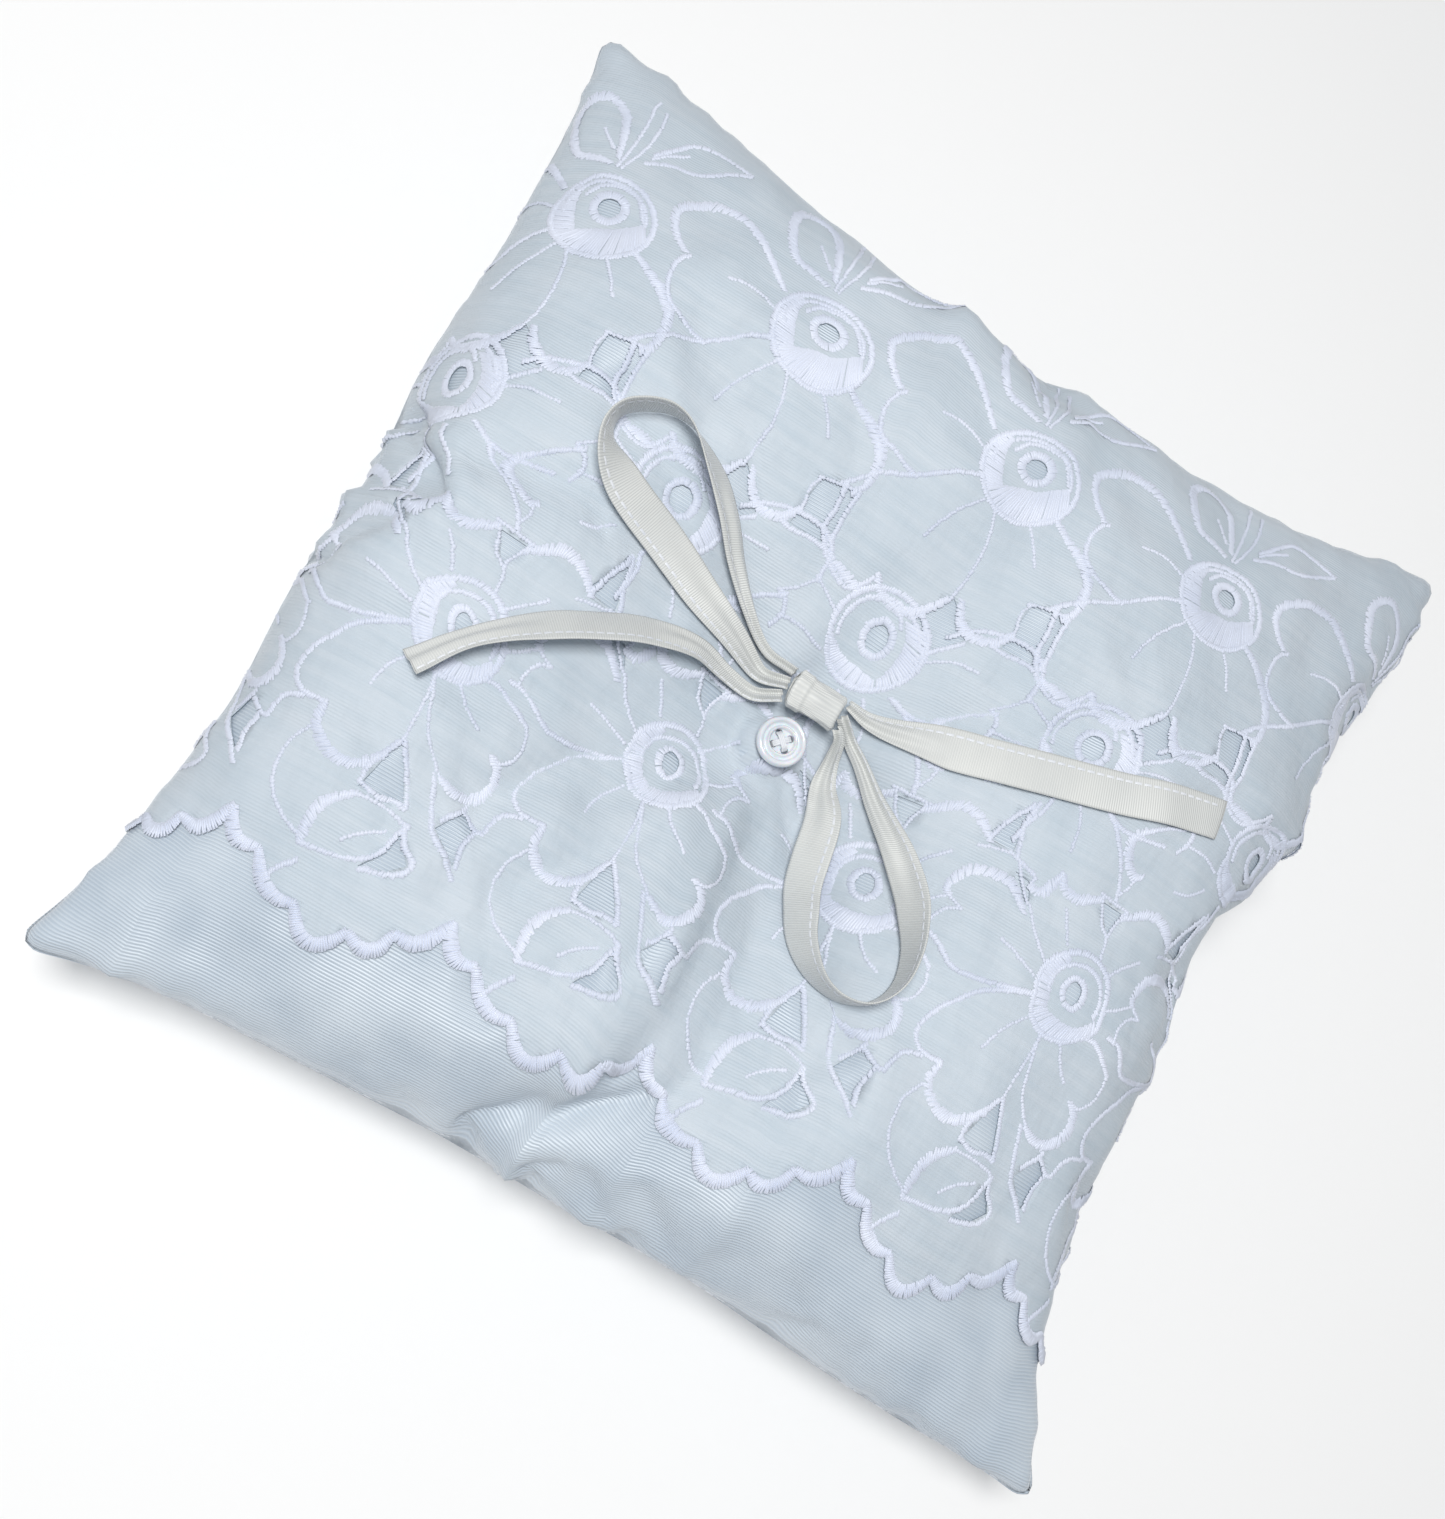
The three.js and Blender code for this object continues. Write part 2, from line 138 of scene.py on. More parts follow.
class Nodes:
    """Short calls for the node trees below."""

    def __init__(self, material):
        self.tree = material.node_tree
        self.shader = self.tree.nodes["Principled BSDF"]

    def add(self, kind, **settings):
        node = self.tree.nodes.new(kind)
        for key, value in settings.items():
            setattr(node, key, value)
        return node

    def link(self, a, b):
        self.tree.links.new(a, b)

    def math(self, operation, a, b=None):
        node = self.add("ShaderNodeMath", operation=operation)
        for socket, value in zip(node.inputs, (a, b)):
            if isinstance(value, (int, float)):
                socket.default_value = value
            elif value is not None:
                self.link(value, socket)
        return node.outputs[0]

    def cloth_axes(self):
        """The cloth coordinates in mm that the builder stored on the mesh."""
        uv = self.add("ShaderNodeUVMap", uv_map="cloth")
        split = self.add("ShaderNodeSeparateXYZ")
        self.link(uv.outputs[0], split.inputs[0])
        return uv.outputs[0], split.outputs[0], split.outputs[1]

    def noise(self, vector, scale, detail=2.0, stretch=(1, 1, 1)):
        mapping = self.add("ShaderNodeMapping")
        mapping.inputs["Scale"].default_value = stretch
        self.link(vector, mapping.inputs["Vector"])
        noise = self.add("ShaderNodeTexNoise")
        noise.inputs["Scale"].default_value = scale
        noise.inputs["Detail"].default_value = detail
        self.link(mapping.outputs[0], noise.inputs["Vector"])
        return noise.outputs[0]

    def bump(self, height, distance, strength=1.0, below=None):
        bump = self.add("ShaderNodeBump")
        bump.inputs["Distance"].default_value = distance * MM
        bump.inputs["Strength"].default_value = strength
        self.link(height, bump.inputs["Height"])
        if below is not None:
            self.link(below, bump.inputs["Normal"])
        return bump.outputs[0]

    def shades(self, factor, dark, light, low=0.3, high=0.7):
        ramp = self.add("ShaderNodeValToRGB")
        ramp.color_ramp.elements[0].position = low
        ramp.color_ramp.elements[0].color = (*dark, 1.0)
        ramp.color_ramp.elements[1].position = high
        ramp.color_ramp.elements[1].color = (*light, 1.0)
        self.link(factor, ramp.inputs[0])
        self.link(ramp.outputs[0], self.shader.inputs["Base Color"])

    def set(self, **values):
        for key, value in values.items():
            self.shader.inputs[key.replace("_", " ")].default_value = value


def ribbed_cloth(name, dark, light, pitch, depth, roughness, axis=1):
    """Faille or grosgrain: fine ribs with slubs, one after another along v, or along u for axis 0."""
    material = new_material(name, light, roughness)
    n = Nodes(material)
    cloth, u, v = n.cloth_axes()
    across = v if axis == 1 else u
    slubs = n.noise(cloth, 0.35, 3.0, (0.12, 1, 1) if axis == 1 else (1, 0.12, 1))
    wobble = n.math("MULTIPLY", slubs, 0.4 * pitch)
    wave = n.math("SINE", n.math("MULTIPLY", n.math("ADD", across, wobble), 2 * math.pi / pitch))
    ribs = n.math("MULTIPLY", n.math("ADD", wave, 1.0), 0.5)
    patches = n.noise(cloth, 0.05, 3.0)
    # Painted shade: the tone lightens the rib crests and darkens the troughs between them, on top of their
    # bump, mixed with random patches of colour.
    tone = n.math("ADD", n.math("MULTIPLY", ribs, 0.25), n.math("MULTIPLY", patches, 0.75))
    n.shades(tone, dark, light, 0.25, 0.75)
    rounded = n.bump(ribs, depth)
    n.link(n.bump(slubs, depth, 0.5, below=rounded), n.shader.inputs["Normal"])
    n.set(Sheen_Weight=0.2, Sheen_Roughness=0.4, Specular_IOR_Level=0.45)
    return material


def organza_cloth():
    """Sheer ribbed organza with pale streaks and soft puffs."""
    material = new_material("organza", (0.8, 0.84, 0.9), 0.5)
    n = Nodes(material)
    cloth, _, v = n.cloth_axes()
    wave = n.math("SINE", n.math("MULTIPLY", v, 2 * math.pi / ORGANZA_RIB))
    streaks = n.noise(cloth, 0.5, 3.0, (0.1, 1, 1))
    patches = n.noise(cloth, 0.04, 2.0)
    puffs = n.noise(cloth, 0.11, 3.0, (1, 0.5, 1))
    tone = n.math("ADD", n.math("MULTIPLY", patches, 0.5), n.math("MULTIPLY", streaks, 0.5))
    n.shades(tone, (0.63, 0.72, 0.8), (0.72, 0.79, 0.86), 0.36, 0.64)
    height = n.math("ADD", n.math("MULTIPLY", wave, 0.3), streaks)
    soft = n.bump(puffs, 1.5, 0.7)
    n.link(n.bump(height, 0.1, below=soft), n.shader.inputs["Normal"])
    n.set(Alpha=0.7, Sheen_Weight=0.2, Specular_IOR_Level=0.3)
    return material


def thread_cloth(name, dark, light, twist=0.35):
    """Sewing and embroidery thread: a soft lustre with fibres along it."""
    material = new_material(name, light, 0.45)
    n = Nodes(material)
    place = n.add("ShaderNodeTexCoord").outputs["Object"]
    fibres = n.noise(place, 2500.0, 2.0)
    patches = n.noise(place, 60.0, 2.0)
    n.shades(patches, dark, light)
    n.link(n.bump(fibres, twist * 0.2), n.shader.inputs["Normal"])
    n.set(Sheen_Weight=0.3, Sheen_Roughness=0.5, Specular_IOR_Level=0.4)
    return material


def pearl_plastic():
    material = new_material("pearl", (0.88, 0.9, 0.93), 0.12)
    n = Nodes(material)
    place = n.add("ShaderNodeTexCoord").outputs["Object"]
    clouds = n.noise(place, 220.0, 3.0, (1, 1, 3))
    n.shades(clouds, (0.66, 0.7, 0.76), (0.81, 0.84, 0.87))
    n.set(Coat_Weight=0.8, Coat_Roughness=0.05, Subsurface_Weight=0.3, Subsurface_Scale=0.001)
    return material


def fluffy_fill():
    material = new_material("stuffing", (0.92, 0.92, 0.91), 0.95)
    n = Nodes(material)
    place = n.add("ShaderNodeTexCoord").outputs["Object"]
    fluff = n.noise(place, 300.0, 5.0)
    n.shades(fluff, (0.86, 0.86, 0.85), (0.94, 0.94, 0.93))
    n.link(n.bump(fluff, 1.0), n.shader.inputs["Normal"])
    return material


def make_materials():
    return {
        "faille": ribbed_cloth("faille", (0.44, 0.52, 0.61), (0.64, 0.71, 0.78), 0.75, 0.12, 0.38),
        "organza": organza_cloth(),
        "embroidery": thread_cloth("embroidery", (0.59, 0.64, 0.76), (0.71, 0.75, 0.86)),
        "ribbon": ribbed_cloth("ribbon", (0.57, 0.59, 0.59), (0.72, 0.73, 0.71), 0.55, 0.08, 0.45, 0),
        "thread": thread_cloth("thread", (0.66, 0.69, 0.74), (0.78, 0.8, 0.84)),
        "pearl": pearl_plastic(),
        "stuffing": fluffy_fill(),
    }


# ---- Mesh tools ----
def make_piece(name, points, faces, material, cloth=None, smooth=True):
    """A mesh object from points in mm. cloth holds one u, v for each point."""
    mesh = bpy.data.meshes.new(name)
    points = np.asarray(points, float)
    faces = np.asarray(faces, np.int32)
    sides = faces.shape[1]
    mesh.vertices.add(len(points))
    mesh.vertices.foreach_set("co", (points * MM).ravel())
    mesh.loops.add(faces.size)
    mesh.loops.foreach_set("vertex_index", faces.ravel())
    mesh.polygons.add(len(faces))
    mesh.polygons.foreach_set("loop_start", np.arange(0, faces.size, sides))
    mesh.polygons.foreach_set("use_smooth", np.full(len(faces), smooth))
    if cloth is not None:
        layer = mesh.uv_layers.new(name="cloth")
        layer.data.foreach_set("uv", np.asarray(cloth, float)[faces.ravel()].ravel())
    mesh.update(calc_edges=True)
    mesh.validate()
    mesh.materials.append(material)
    piece = bpy.data.objects.new(name, mesh)
    bpy.context.collection.objects.link(piece)
    return piece


def grid_faces(rows, columns, offset=0, flip=False, loop=False):
    """Quads over a rows by columns grid of points. A looped grid joins its last row to its first."""
    i, j = np.meshgrid(np.arange(rows if loop else rows - 1), np.arange(columns - 1), indexing="ij")
    here = (i * columns + j).ravel()
    there = (((i + 1) % rows) * columns + j).ravel()
    faces = np.stack([here, there, there + 1, here + 1], 1) + offset
    return faces[:, ::-1] if flip else faces


def thin_shell(upper, lower, loop=False):
    """A closed strip or sheet between two grids of points, shaped rows by columns by 3."""
    rows, columns = upper.shape[:2]
    count = rows * columns
    points = np.concatenate([upper.reshape(-1, 3), lower.reshape(-1, 3)])
    faces = [grid_faces(rows, columns, 0, False, loop), grid_faces(rows, columns, count, True, loop)]
    index = np.arange(count).reshape(rows, columns)
    rims = [index[:, 0][::-1], index[:, -1]]
    if loop:
        rims = [np.append(rims[0], rims[0][0]), np.append(rims[1], rims[1][0])]
    else:
        rims += [index[0], index[-1][::-1]]
    for rim in rims:
        a, b = rim[:-1], rim[1:]
        faces.append(np.stack([a, a + count, b + count, b], 1)[:, ::-1])
    return points, np.concatenate(faces)


def smooth_curve(points, step):
    """Points every step or so along a curve through the given ones, of any dimension."""
    points = np.asarray(points, float)
    ends = np.concatenate([[2 * points[0] - points[1]], points, [2 * points[-1] - points[-2]]])
    pieces = []
    for a, b, c, d in zip(ends, ends[1:], ends[2:], ends[3:]):
        k = np.linspace(0, 1, 12, endpoint=False)[:, None]
        bend = (2 * a - 5 * b + 4 * c - d) * k**2 + (3 * b - a - 3 * c + d) * k**3
        pieces.append(b + 0.5 * ((c - a) * k + bend))
    dense = np.concatenate([*pieces, points[-1:]])
    run = np.append(0, np.cumsum(np.linalg.norm(np.diff(dense[:, :2], axis=0), axis=1)))
    count = max(2, round(run[-1] / step) + 1)
    at = np.linspace(0, run[-1], count)
    return np.stack([np.interp(at, run, dense[:, k]) for k in range(dense.shape[1])], 1)


def directions(points):
    """The unit direction of a polyline at each of its points."""
    slope = np.gradient(points, axis=0)
    return slope / np.maximum(np.linalg.norm(slope, axis=1, keepdims=True), 1e-9)


# ---- The pillow: two flat panels sewn together, filled, and drawn in by the button ----
PANEL = 262.0  # side of each flat panel
CELLS = 84
FRAMES = 46
FAILLE_SETTINGS = {
    "quality": 6,
    "mass": 0.15,
    "tension_stiffness": 40,
    "compression_stiffness": 12,
    "shear_stiffness": 8,
    "bending_stiffness": 0.6,
    "tension_damping": 8,
    "compression_damping": 8,
    "shear_damping": 8,
    "air_damping": 4,
    "use_pressure": True,
    "uniform_pressure_force": 9.0,
}
TUFT_REACH = 4.5  # the cloth this near to the button is held down
FRONT_TUFT = BUTTON_LOW[2] - 2.4 - SEAM_Z  # the front cloth's height under the button, above the seam
BACK_TUFT = 17.0
# How far a side's seam lies inside the line between its corners, at nine even steps. Chosen against
# the photo's outline and rounded to whole mm.
SIDE_PULL = {
    "left": [0, 6, 9, 6, 8, 4, 5, 3, 0],
    "right": [0, 15, 20, 22, 21, 16, 11, 1, 0],
    "bottom": [0, 4, 5, 6, 5, 5, 2, 0, 0],
    "top": [0, 5, 13, 20, 21, 17, 15, 9, 0],
}
SIDE_FADE = 3.0  # how quickly a side's pull fades into the panel
BACK_DEPTH = 44.0  # of the back panel below the seam, before it lies flat on the floor
FLOOR_BEND = 2.5  # how softly the back flattens there
EAR = 3.0  # how far a turned corner stands out
EAR_REACH = 20.0
CORNER = 9.0  # radius of a turned corner


def grid_lines(cells):
    return np.linspace(-1.0, 1.0, cells + 1)


def resting_guess(s, t, lobe):
    """Low domes with the tuft drawn in, near to where the filled pillow ends up."""
    x = s * HALF
    y = t * HALF
    dip = np.exp(-((x - BUTTON[0]) ** 2 + (y - BUTTON[1]) ** 2) / 40.0**2)
    return np.stack([x, y, lobe * ((1 - s * s) * (1 - t * t)) ** 0.5 * (1 - 0.55 * dip)], -1)


def fill_pillow():
    """Inflates the two sewn panels with the cloth solver. Returns both as grids of points."""
    line = grid_lines(CELLS)
    s, t = np.meshgrid(line, line, indexing="ij")
    size = CELLS + 1
    inner = np.zeros((size, size), bool)
    inner[1:-1, 1:-1] = True
    front = np.arange(size * size).reshape(size, size)
    back = front.copy()
    back[inner] = size * size + np.arange(inner.sum())
    dome = resting_guess(s, t, 36.0)
    under = dome * (1, 1, -1)
    cut = np.stack([s * PANEL / 2, t * PANEL / 2, 0 * s], -1)
    start = np.concatenate([dome.reshape(-1, 3), under[inner]])
    flat = np.concatenate([cut.reshape(-1, 3), cut[inner]])
    near = [np.abs(line * HALF - BUTTON[axis]) < TUFT_REACH for axis in (0, 1)]
    held = []
    for index, z in ((front, FRONT_TUFT), (back, -BACK_TUFT)):
        spot = index[np.ix_(*near)].ravel()
        start[spot, 2] = z
        held += [int(v) for v in spot]
    faces = np.concatenate([grid_faces(size, size), back.ravel()[grid_faces(size, size, 0, True)]])
    settled = run_cloth(start, flat, faces, held)
    return settled[front], settled[back]


def run_cloth(start, flat, faces, held):
    """Runs the solver from the start shape, with the flat panels as the cloth's own size."""
    mesh = bpy.data.meshes.new("filling")
    mesh.from_pydata((start * MM).tolist(), [], faces.tolist())
    body = bpy.data.objects.new("filling", mesh)
    bpy.context.collection.objects.link(body)
    body.shape_key_add(name="start")
    cut = body.shape_key_add(name="cut")
    cut.data.foreach_set("co", (flat * MM).ravel())
    body.vertex_groups.new(name="tufts").add(held, 1.0, "REPLACE")
    cloth = body.modifiers.new("cloth", "CLOTH")
    settings = cloth.settings
    for key, value in FAILLE_SETTINGS.items():
        setattr(settings, key, value)
    settings.vertex_group_mass = "tufts"
    settings.rest_shape_key = cut
    settings.effector_weights.gravity = 0
    cloth.point_cache.frame_end = FRAMES
    scene = bpy.context.scene
    for step in range(1, FRAMES + 1):
        scene.frame_set(step)
    seen = body.evaluated_get(bpy.context.evaluated_depsgraph_get())
    points = np.empty(len(start) * 3)
    seen.data.vertices.foreach_get("co", points)
    scene.frame_set(1)
    bpy.data.objects.remove(body)
    bpy.data.meshes.remove(mesh)
    return points.reshape(-1, 3) / MM


def side_pull(side, line):
    """How far the seam of that side lies inside the line between its corners."""
    steps = SIDE_PULL[side]
    found = np.interp(line, grid_lines(len(steps) - 1), steps)
    for _ in range(6):
        found[1:-1] = (found[:-2] + 2 * found[1:-1] + found[2:]) / 4
    return found


def shape_corners(grid):
    """Makes each sewn corner a small rounded ear."""
    plan = grid[..., :2]
    sign = np.sign(plan)
    away = np.abs(plan)
    near = np.clip((away.min(-1, keepdims=True) - HALF + EAR_REACH) / EAR_REACH, 0, 1)
    away = away + EAR * near**2
    over = np.clip((away - HALF - EAR + CORNER) / CORNER, 0, 1)
    arc_share = np.sqrt(1 - over[..., ::-1] ** 2 / 2)
    grid[..., :2] = sign * (away - over * CORNER * (1 - arc_share))


def fit_panels(front, back):
    """Sets the filled panels to the corner distance, seam line and heights of the real pillow."""
    corners = np.array([front[0, 0], front[-1, 0], front[-1, -1], front[0, -1]])
    middle = corners.mean(0)
    scale = HALF / np.abs(corners - middle).mean(0)
    scale[2] = 1
    front, back = (front - middle) * scale, (back - middle) * scale
    line = grid_lines(CELLS)
    low_weight = ((1 - line) / 2) ** SIDE_FADE
    high_weight = ((1 + line) / 2) ** SIDE_FADE
    left = -HALF + side_pull("left", line) - front[0, :, 0]
    right = HALF - side_pull("right", line) - front[-1, :, 0]
    bottom = -HALF + side_pull("bottom", line) - front[:, 0, 1]
    top = HALF - side_pull("top", line) - front[:, -1, 1]
    push_x = low_weight[:, None] * left[None, :] + high_weight[:, None] * right[None, :]
    push_y = bottom[:, None] * low_weight[None, :] + top[:, None] * high_weight[None, :]
    for grid in (front, back):
        grid[..., 0] += push_x
        grid[..., 1] += push_y
        shape_corners(grid)
    front[..., 2] *= CROWN / front[..., 2].max()
    back[..., 2] *= BACK_DEPTH / -back[..., 2].min()
    front[..., 2] += SEAM_Z
    z = back[..., 2] + SEAM_Z
    back[..., 2] = (z + np.hypot(z, FLOOR_BEND)) / 2
    rim = np.ones(z.shape, bool)
    rim[1:-1, 1:-1] = False
    front[rim] = back[rim]
    return front, back


class Panel:
    """A sewn panel's shape, looked up by cloth coordinates."""

    def __init__(self, grid):
        self.grid = grid
        self.cells = len(grid) - 1

    def at(self, u, v):
        u = np.clip((np.asarray(u, float) / PANEL + 0.5) * self.cells, 0, self.cells)
        v = np.clip((np.asarray(v, float) / PANEL + 0.5) * self.cells, 0, self.cells)
        i = np.minimum(u.astype(int), self.cells - 1)
        j = np.minimum(v.astype(int), self.cells - 1)
        found = np.zeros((*u.shape, 3))
        for di, wi in enumerate(self.weights(u - i), -1):
            for dj, wj in enumerate(self.weights(v - j), -1):
                ii = np.clip(i + di, 0, self.cells)
                jj = np.clip(j + dj, 0, self.cells)
                found += self.grid[ii, jj] * (wi * wj)[..., None]
        return found

    @staticmethod
    def weights(f):
        return (
            (-f + 2 * f**2 - f**3) / 2,
            (2 - 5 * f**2 + 3 * f**3) / 2,
            (f + 4 * f**2 - 3 * f**3) / 2,
            (f**3 - f**2) / 2,
        )

    def outward(self, u, v):
        u, v = np.asarray(u, float), np.asarray(v, float)
        along = self.at(u + 1, v) - self.at(u - 1, v)
        across = self.at(u, v + 1) - self.at(u, v - 1)
        normal = np.cross(along, across)
        return normal / np.maximum(np.linalg.norm(normal, axis=-1, keepdims=True), 1e-9)

    def lifted(self, u, v, height):
        """A point at that height above the cloth."""
        return self.at(u, v) + self.outward(u, v) * np.asarray(height, float)[..., None]


# ---- Panels as pieces ----
FINE = 2  # fine grid cells for each simulated cell
PUCKER = 0.7  # height of the gathers along the seam
PUCKER_REACH = 7.0
CLOTH = 0.5  # thickness of the faille
CRUMPLE = 0.008  # height of a dent, as a share of its width
CRUMPLE_WAVES = 5
# The sharp crease from the button to the lower seam: its cloth points, and its depth by v.
CREASE = [(-21, -131), (-16, -104), (-8, -86), (-8, -20), (-10, 0)]
CREASE_DEPTH = [(-131, 5), (-105, 7), (-80, 9), (-55, 10), (-35, 10), (-20, 7), (0, 0)]
CREASE_LIP = 0.45  # share of the depth that drops at the crease itself
HOLLOW_FALL = 14.0  # from the crease to the bottom of the hollow beside it
HOLLOW_RISE = 42.0
SOFT_FOLDS = [  # cloth points, depth and reach
    ([(-12, -12), (-60, -28), (-125, -45)], 2.0, 10.0),
    ([(-4, -2), (8, 45), (28, 84), (62, 104)], 2.2, 11.0),
    ([(4, -10), (60, -8), (125, -14)], 1.6, 10.0),
]


def fine_panel(grid, seed, is_front=False):
    """The panel on a finer grid, with small gathers along its seams, dents and, in front, folds."""
    coarse = Panel(grid)
    cells = CELLS * FINE
    line = grid_lines(cells) * PANEL / 2
    u, v = np.meshgrid(line, line, indexing="ij")
    inset_u = PANEL / 2 - np.abs(u)
    inset_v = PANEL / 2 - np.abs(v)
    waves = 0
    for along, inset, phase in ((u, inset_v, seed), (v, inset_u, seed + 2)):
        wave = np.sin(along / 1.9 + 2.2 * np.sin(along / 13 + phase)) * np.sin(along / 21 + phase)
        waves = waves + wave * np.exp(-inset / PUCKER_REACH) * np.clip(inset / 3, 0, 1)
    points = coarse.lifted(u, v, PUCKER * waves + crumples(u, v, seed))
    if is_front:
        points[..., 2] -= fold_depth(u, v)
    return Panel(points)


def crumples(u, v, seed):
    """Height of the shallow dents that cross each other all over a filled panel, none at the seams."""
    height = 0
    for k in range(CRUMPLE_WAVES):
        turn = seed + 2.4 * k
        along = u * math.cos(turn) + v * math.sin(turn)
        across = v * math.cos(turn) - u * math.sin(turn)
        pitch = 14.0 + 4.0 * k
        height = height + np.sin(2 * math.pi * along / pitch + 1.6 * np.sin(across / 19 + k)) * pitch
    inset = PANEL / 2 - np.maximum(np.abs(u), np.abs(v))
    return CRUMPLE * height * np.clip(inset / 15, 0, 1)


def distance_to(points, u, v):
    """Distance on the cloth from every u, v to a line of points."""
    near = np.full(u.shape, np.inf)
    for start, end in zip(np.array(points, float), np.array(points[1:], float)):
        run = end - start
        share = np.clip(((u - start[0]) * run[0] + (v - start[1]) * run[1]) / (run @ run), 0, 1)
        gap = np.hypot(u - start[0] - share * run[0], v - start[1] - share * run[1])
        near = np.minimum(near, gap)
    return near


def fold_depth(u, v):
    """Depth of the folds that run from the button: one sharp crease beside a hollow, and softer ones."""
    crease_u, crease_v = np.transpose(CREASE)
    beside = u - np.interp(v, crease_v, crease_u)
    depth = np.interp(v, *np.transpose(CREASE_DEPTH))
    lip = 1 / (1 + np.exp(-beside / 0.9))
    fall = CREASE_LIP + (1 - CREASE_LIP) * np.clip(beside / HOLLOW_FALL, 0, 1)
    rise = 1 - np.clip((beside - HOLLOW_FALL) / HOLLOW_RISE, 0, 1)
    hollow = lip * fall * rise * rise * (3 - 2 * rise)
    lobe = 0.15 * np.exp(-(((beside + 14) / 12) ** 2))
    total = depth * (hollow - lobe)
    for points, deep, reach in SOFT_FOLDS:
        total = total + deep * np.exp(-((distance_to(points, u, v) / reach) ** 2))
    inset = np.clip((PANEL / 2 - np.maximum(np.abs(u), np.abs(v))) / 30, 0, 1)
    from_button = np.hypot(u - BUTTON[0], v - BUTTON[1])
    return total * inset * (2 - inset) * np.clip((from_button - 5) / 12, 0, 1)


def panel_piece(name, panel, material, flip):
    cells = panel.cells
    line = grid_lines(cells) * PANEL / 2
    u, v = np.meshgrid(line, line, indexing="ij")
    outer = panel.grid
    inward = CLOTH if flip else -CLOTH
    inner = outer + panel.outward(u, v) * inward
    rim = np.ones(u.shape, bool)
    rim[1:-1, 1:-1] = False
    inner[rim] = outer[rim] * (1 - CLOTH / HALF, 1 - CLOTH / HALF, 1)
    upper, lower = (inner, outer) if flip else (outer, inner)
    points, faces = thin_shell(upper, lower)
    cloth = np.stack([u, v], -1).reshape(-1, 2)
    return make_piece(name, points, faces, material, np.concatenate([cloth, cloth]))


def make_pillow(materials):
    front, back = fit_panels(*fill_pillow())
    front, back = fine_panel(front, 0.4, True), fine_panel(back, 1.7)
    top = panel_piece("front_panel", front, materials["faille"], False)
    bottom = panel_piece("back_panel", back, materials["faille"], True)
    for piece, node in ((top, "front_cover"), (bottom, "back_cover")):
        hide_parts(node)
        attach(piece, "pillow")
    return front, back


# ---- The lace's pattern ----
# Drawn in pattern units around the eye of a low flower; a column of flowers repeats every REPEAT units.
REPEAT = 56.0
PITCH = 54.0  # the same distance on the cloth, in mm
FIRST_EYE = (-30.0, -29.0)  # cloth place of the eye of the low flower in column 0
SPREAD = 0.0006  # how much wider the lace lies for every mm up the panel
COLUMNS = range(-2, 4)
MIDDLE_EYE = (-28.0, 57.0)
TOP_EYE = (-16.0, 112.0)
TOP_STRETCH = 1.12
THIN, MEDIUM, BOLD, HEM = 0.8, 1.2, 2.3, 2.9  # widths of the stitched lines
LOW_HOLE_SIZE = 1.25  # how much larger a hole is than its drawn outline
TOP_HOLE_SIZE = 1.3

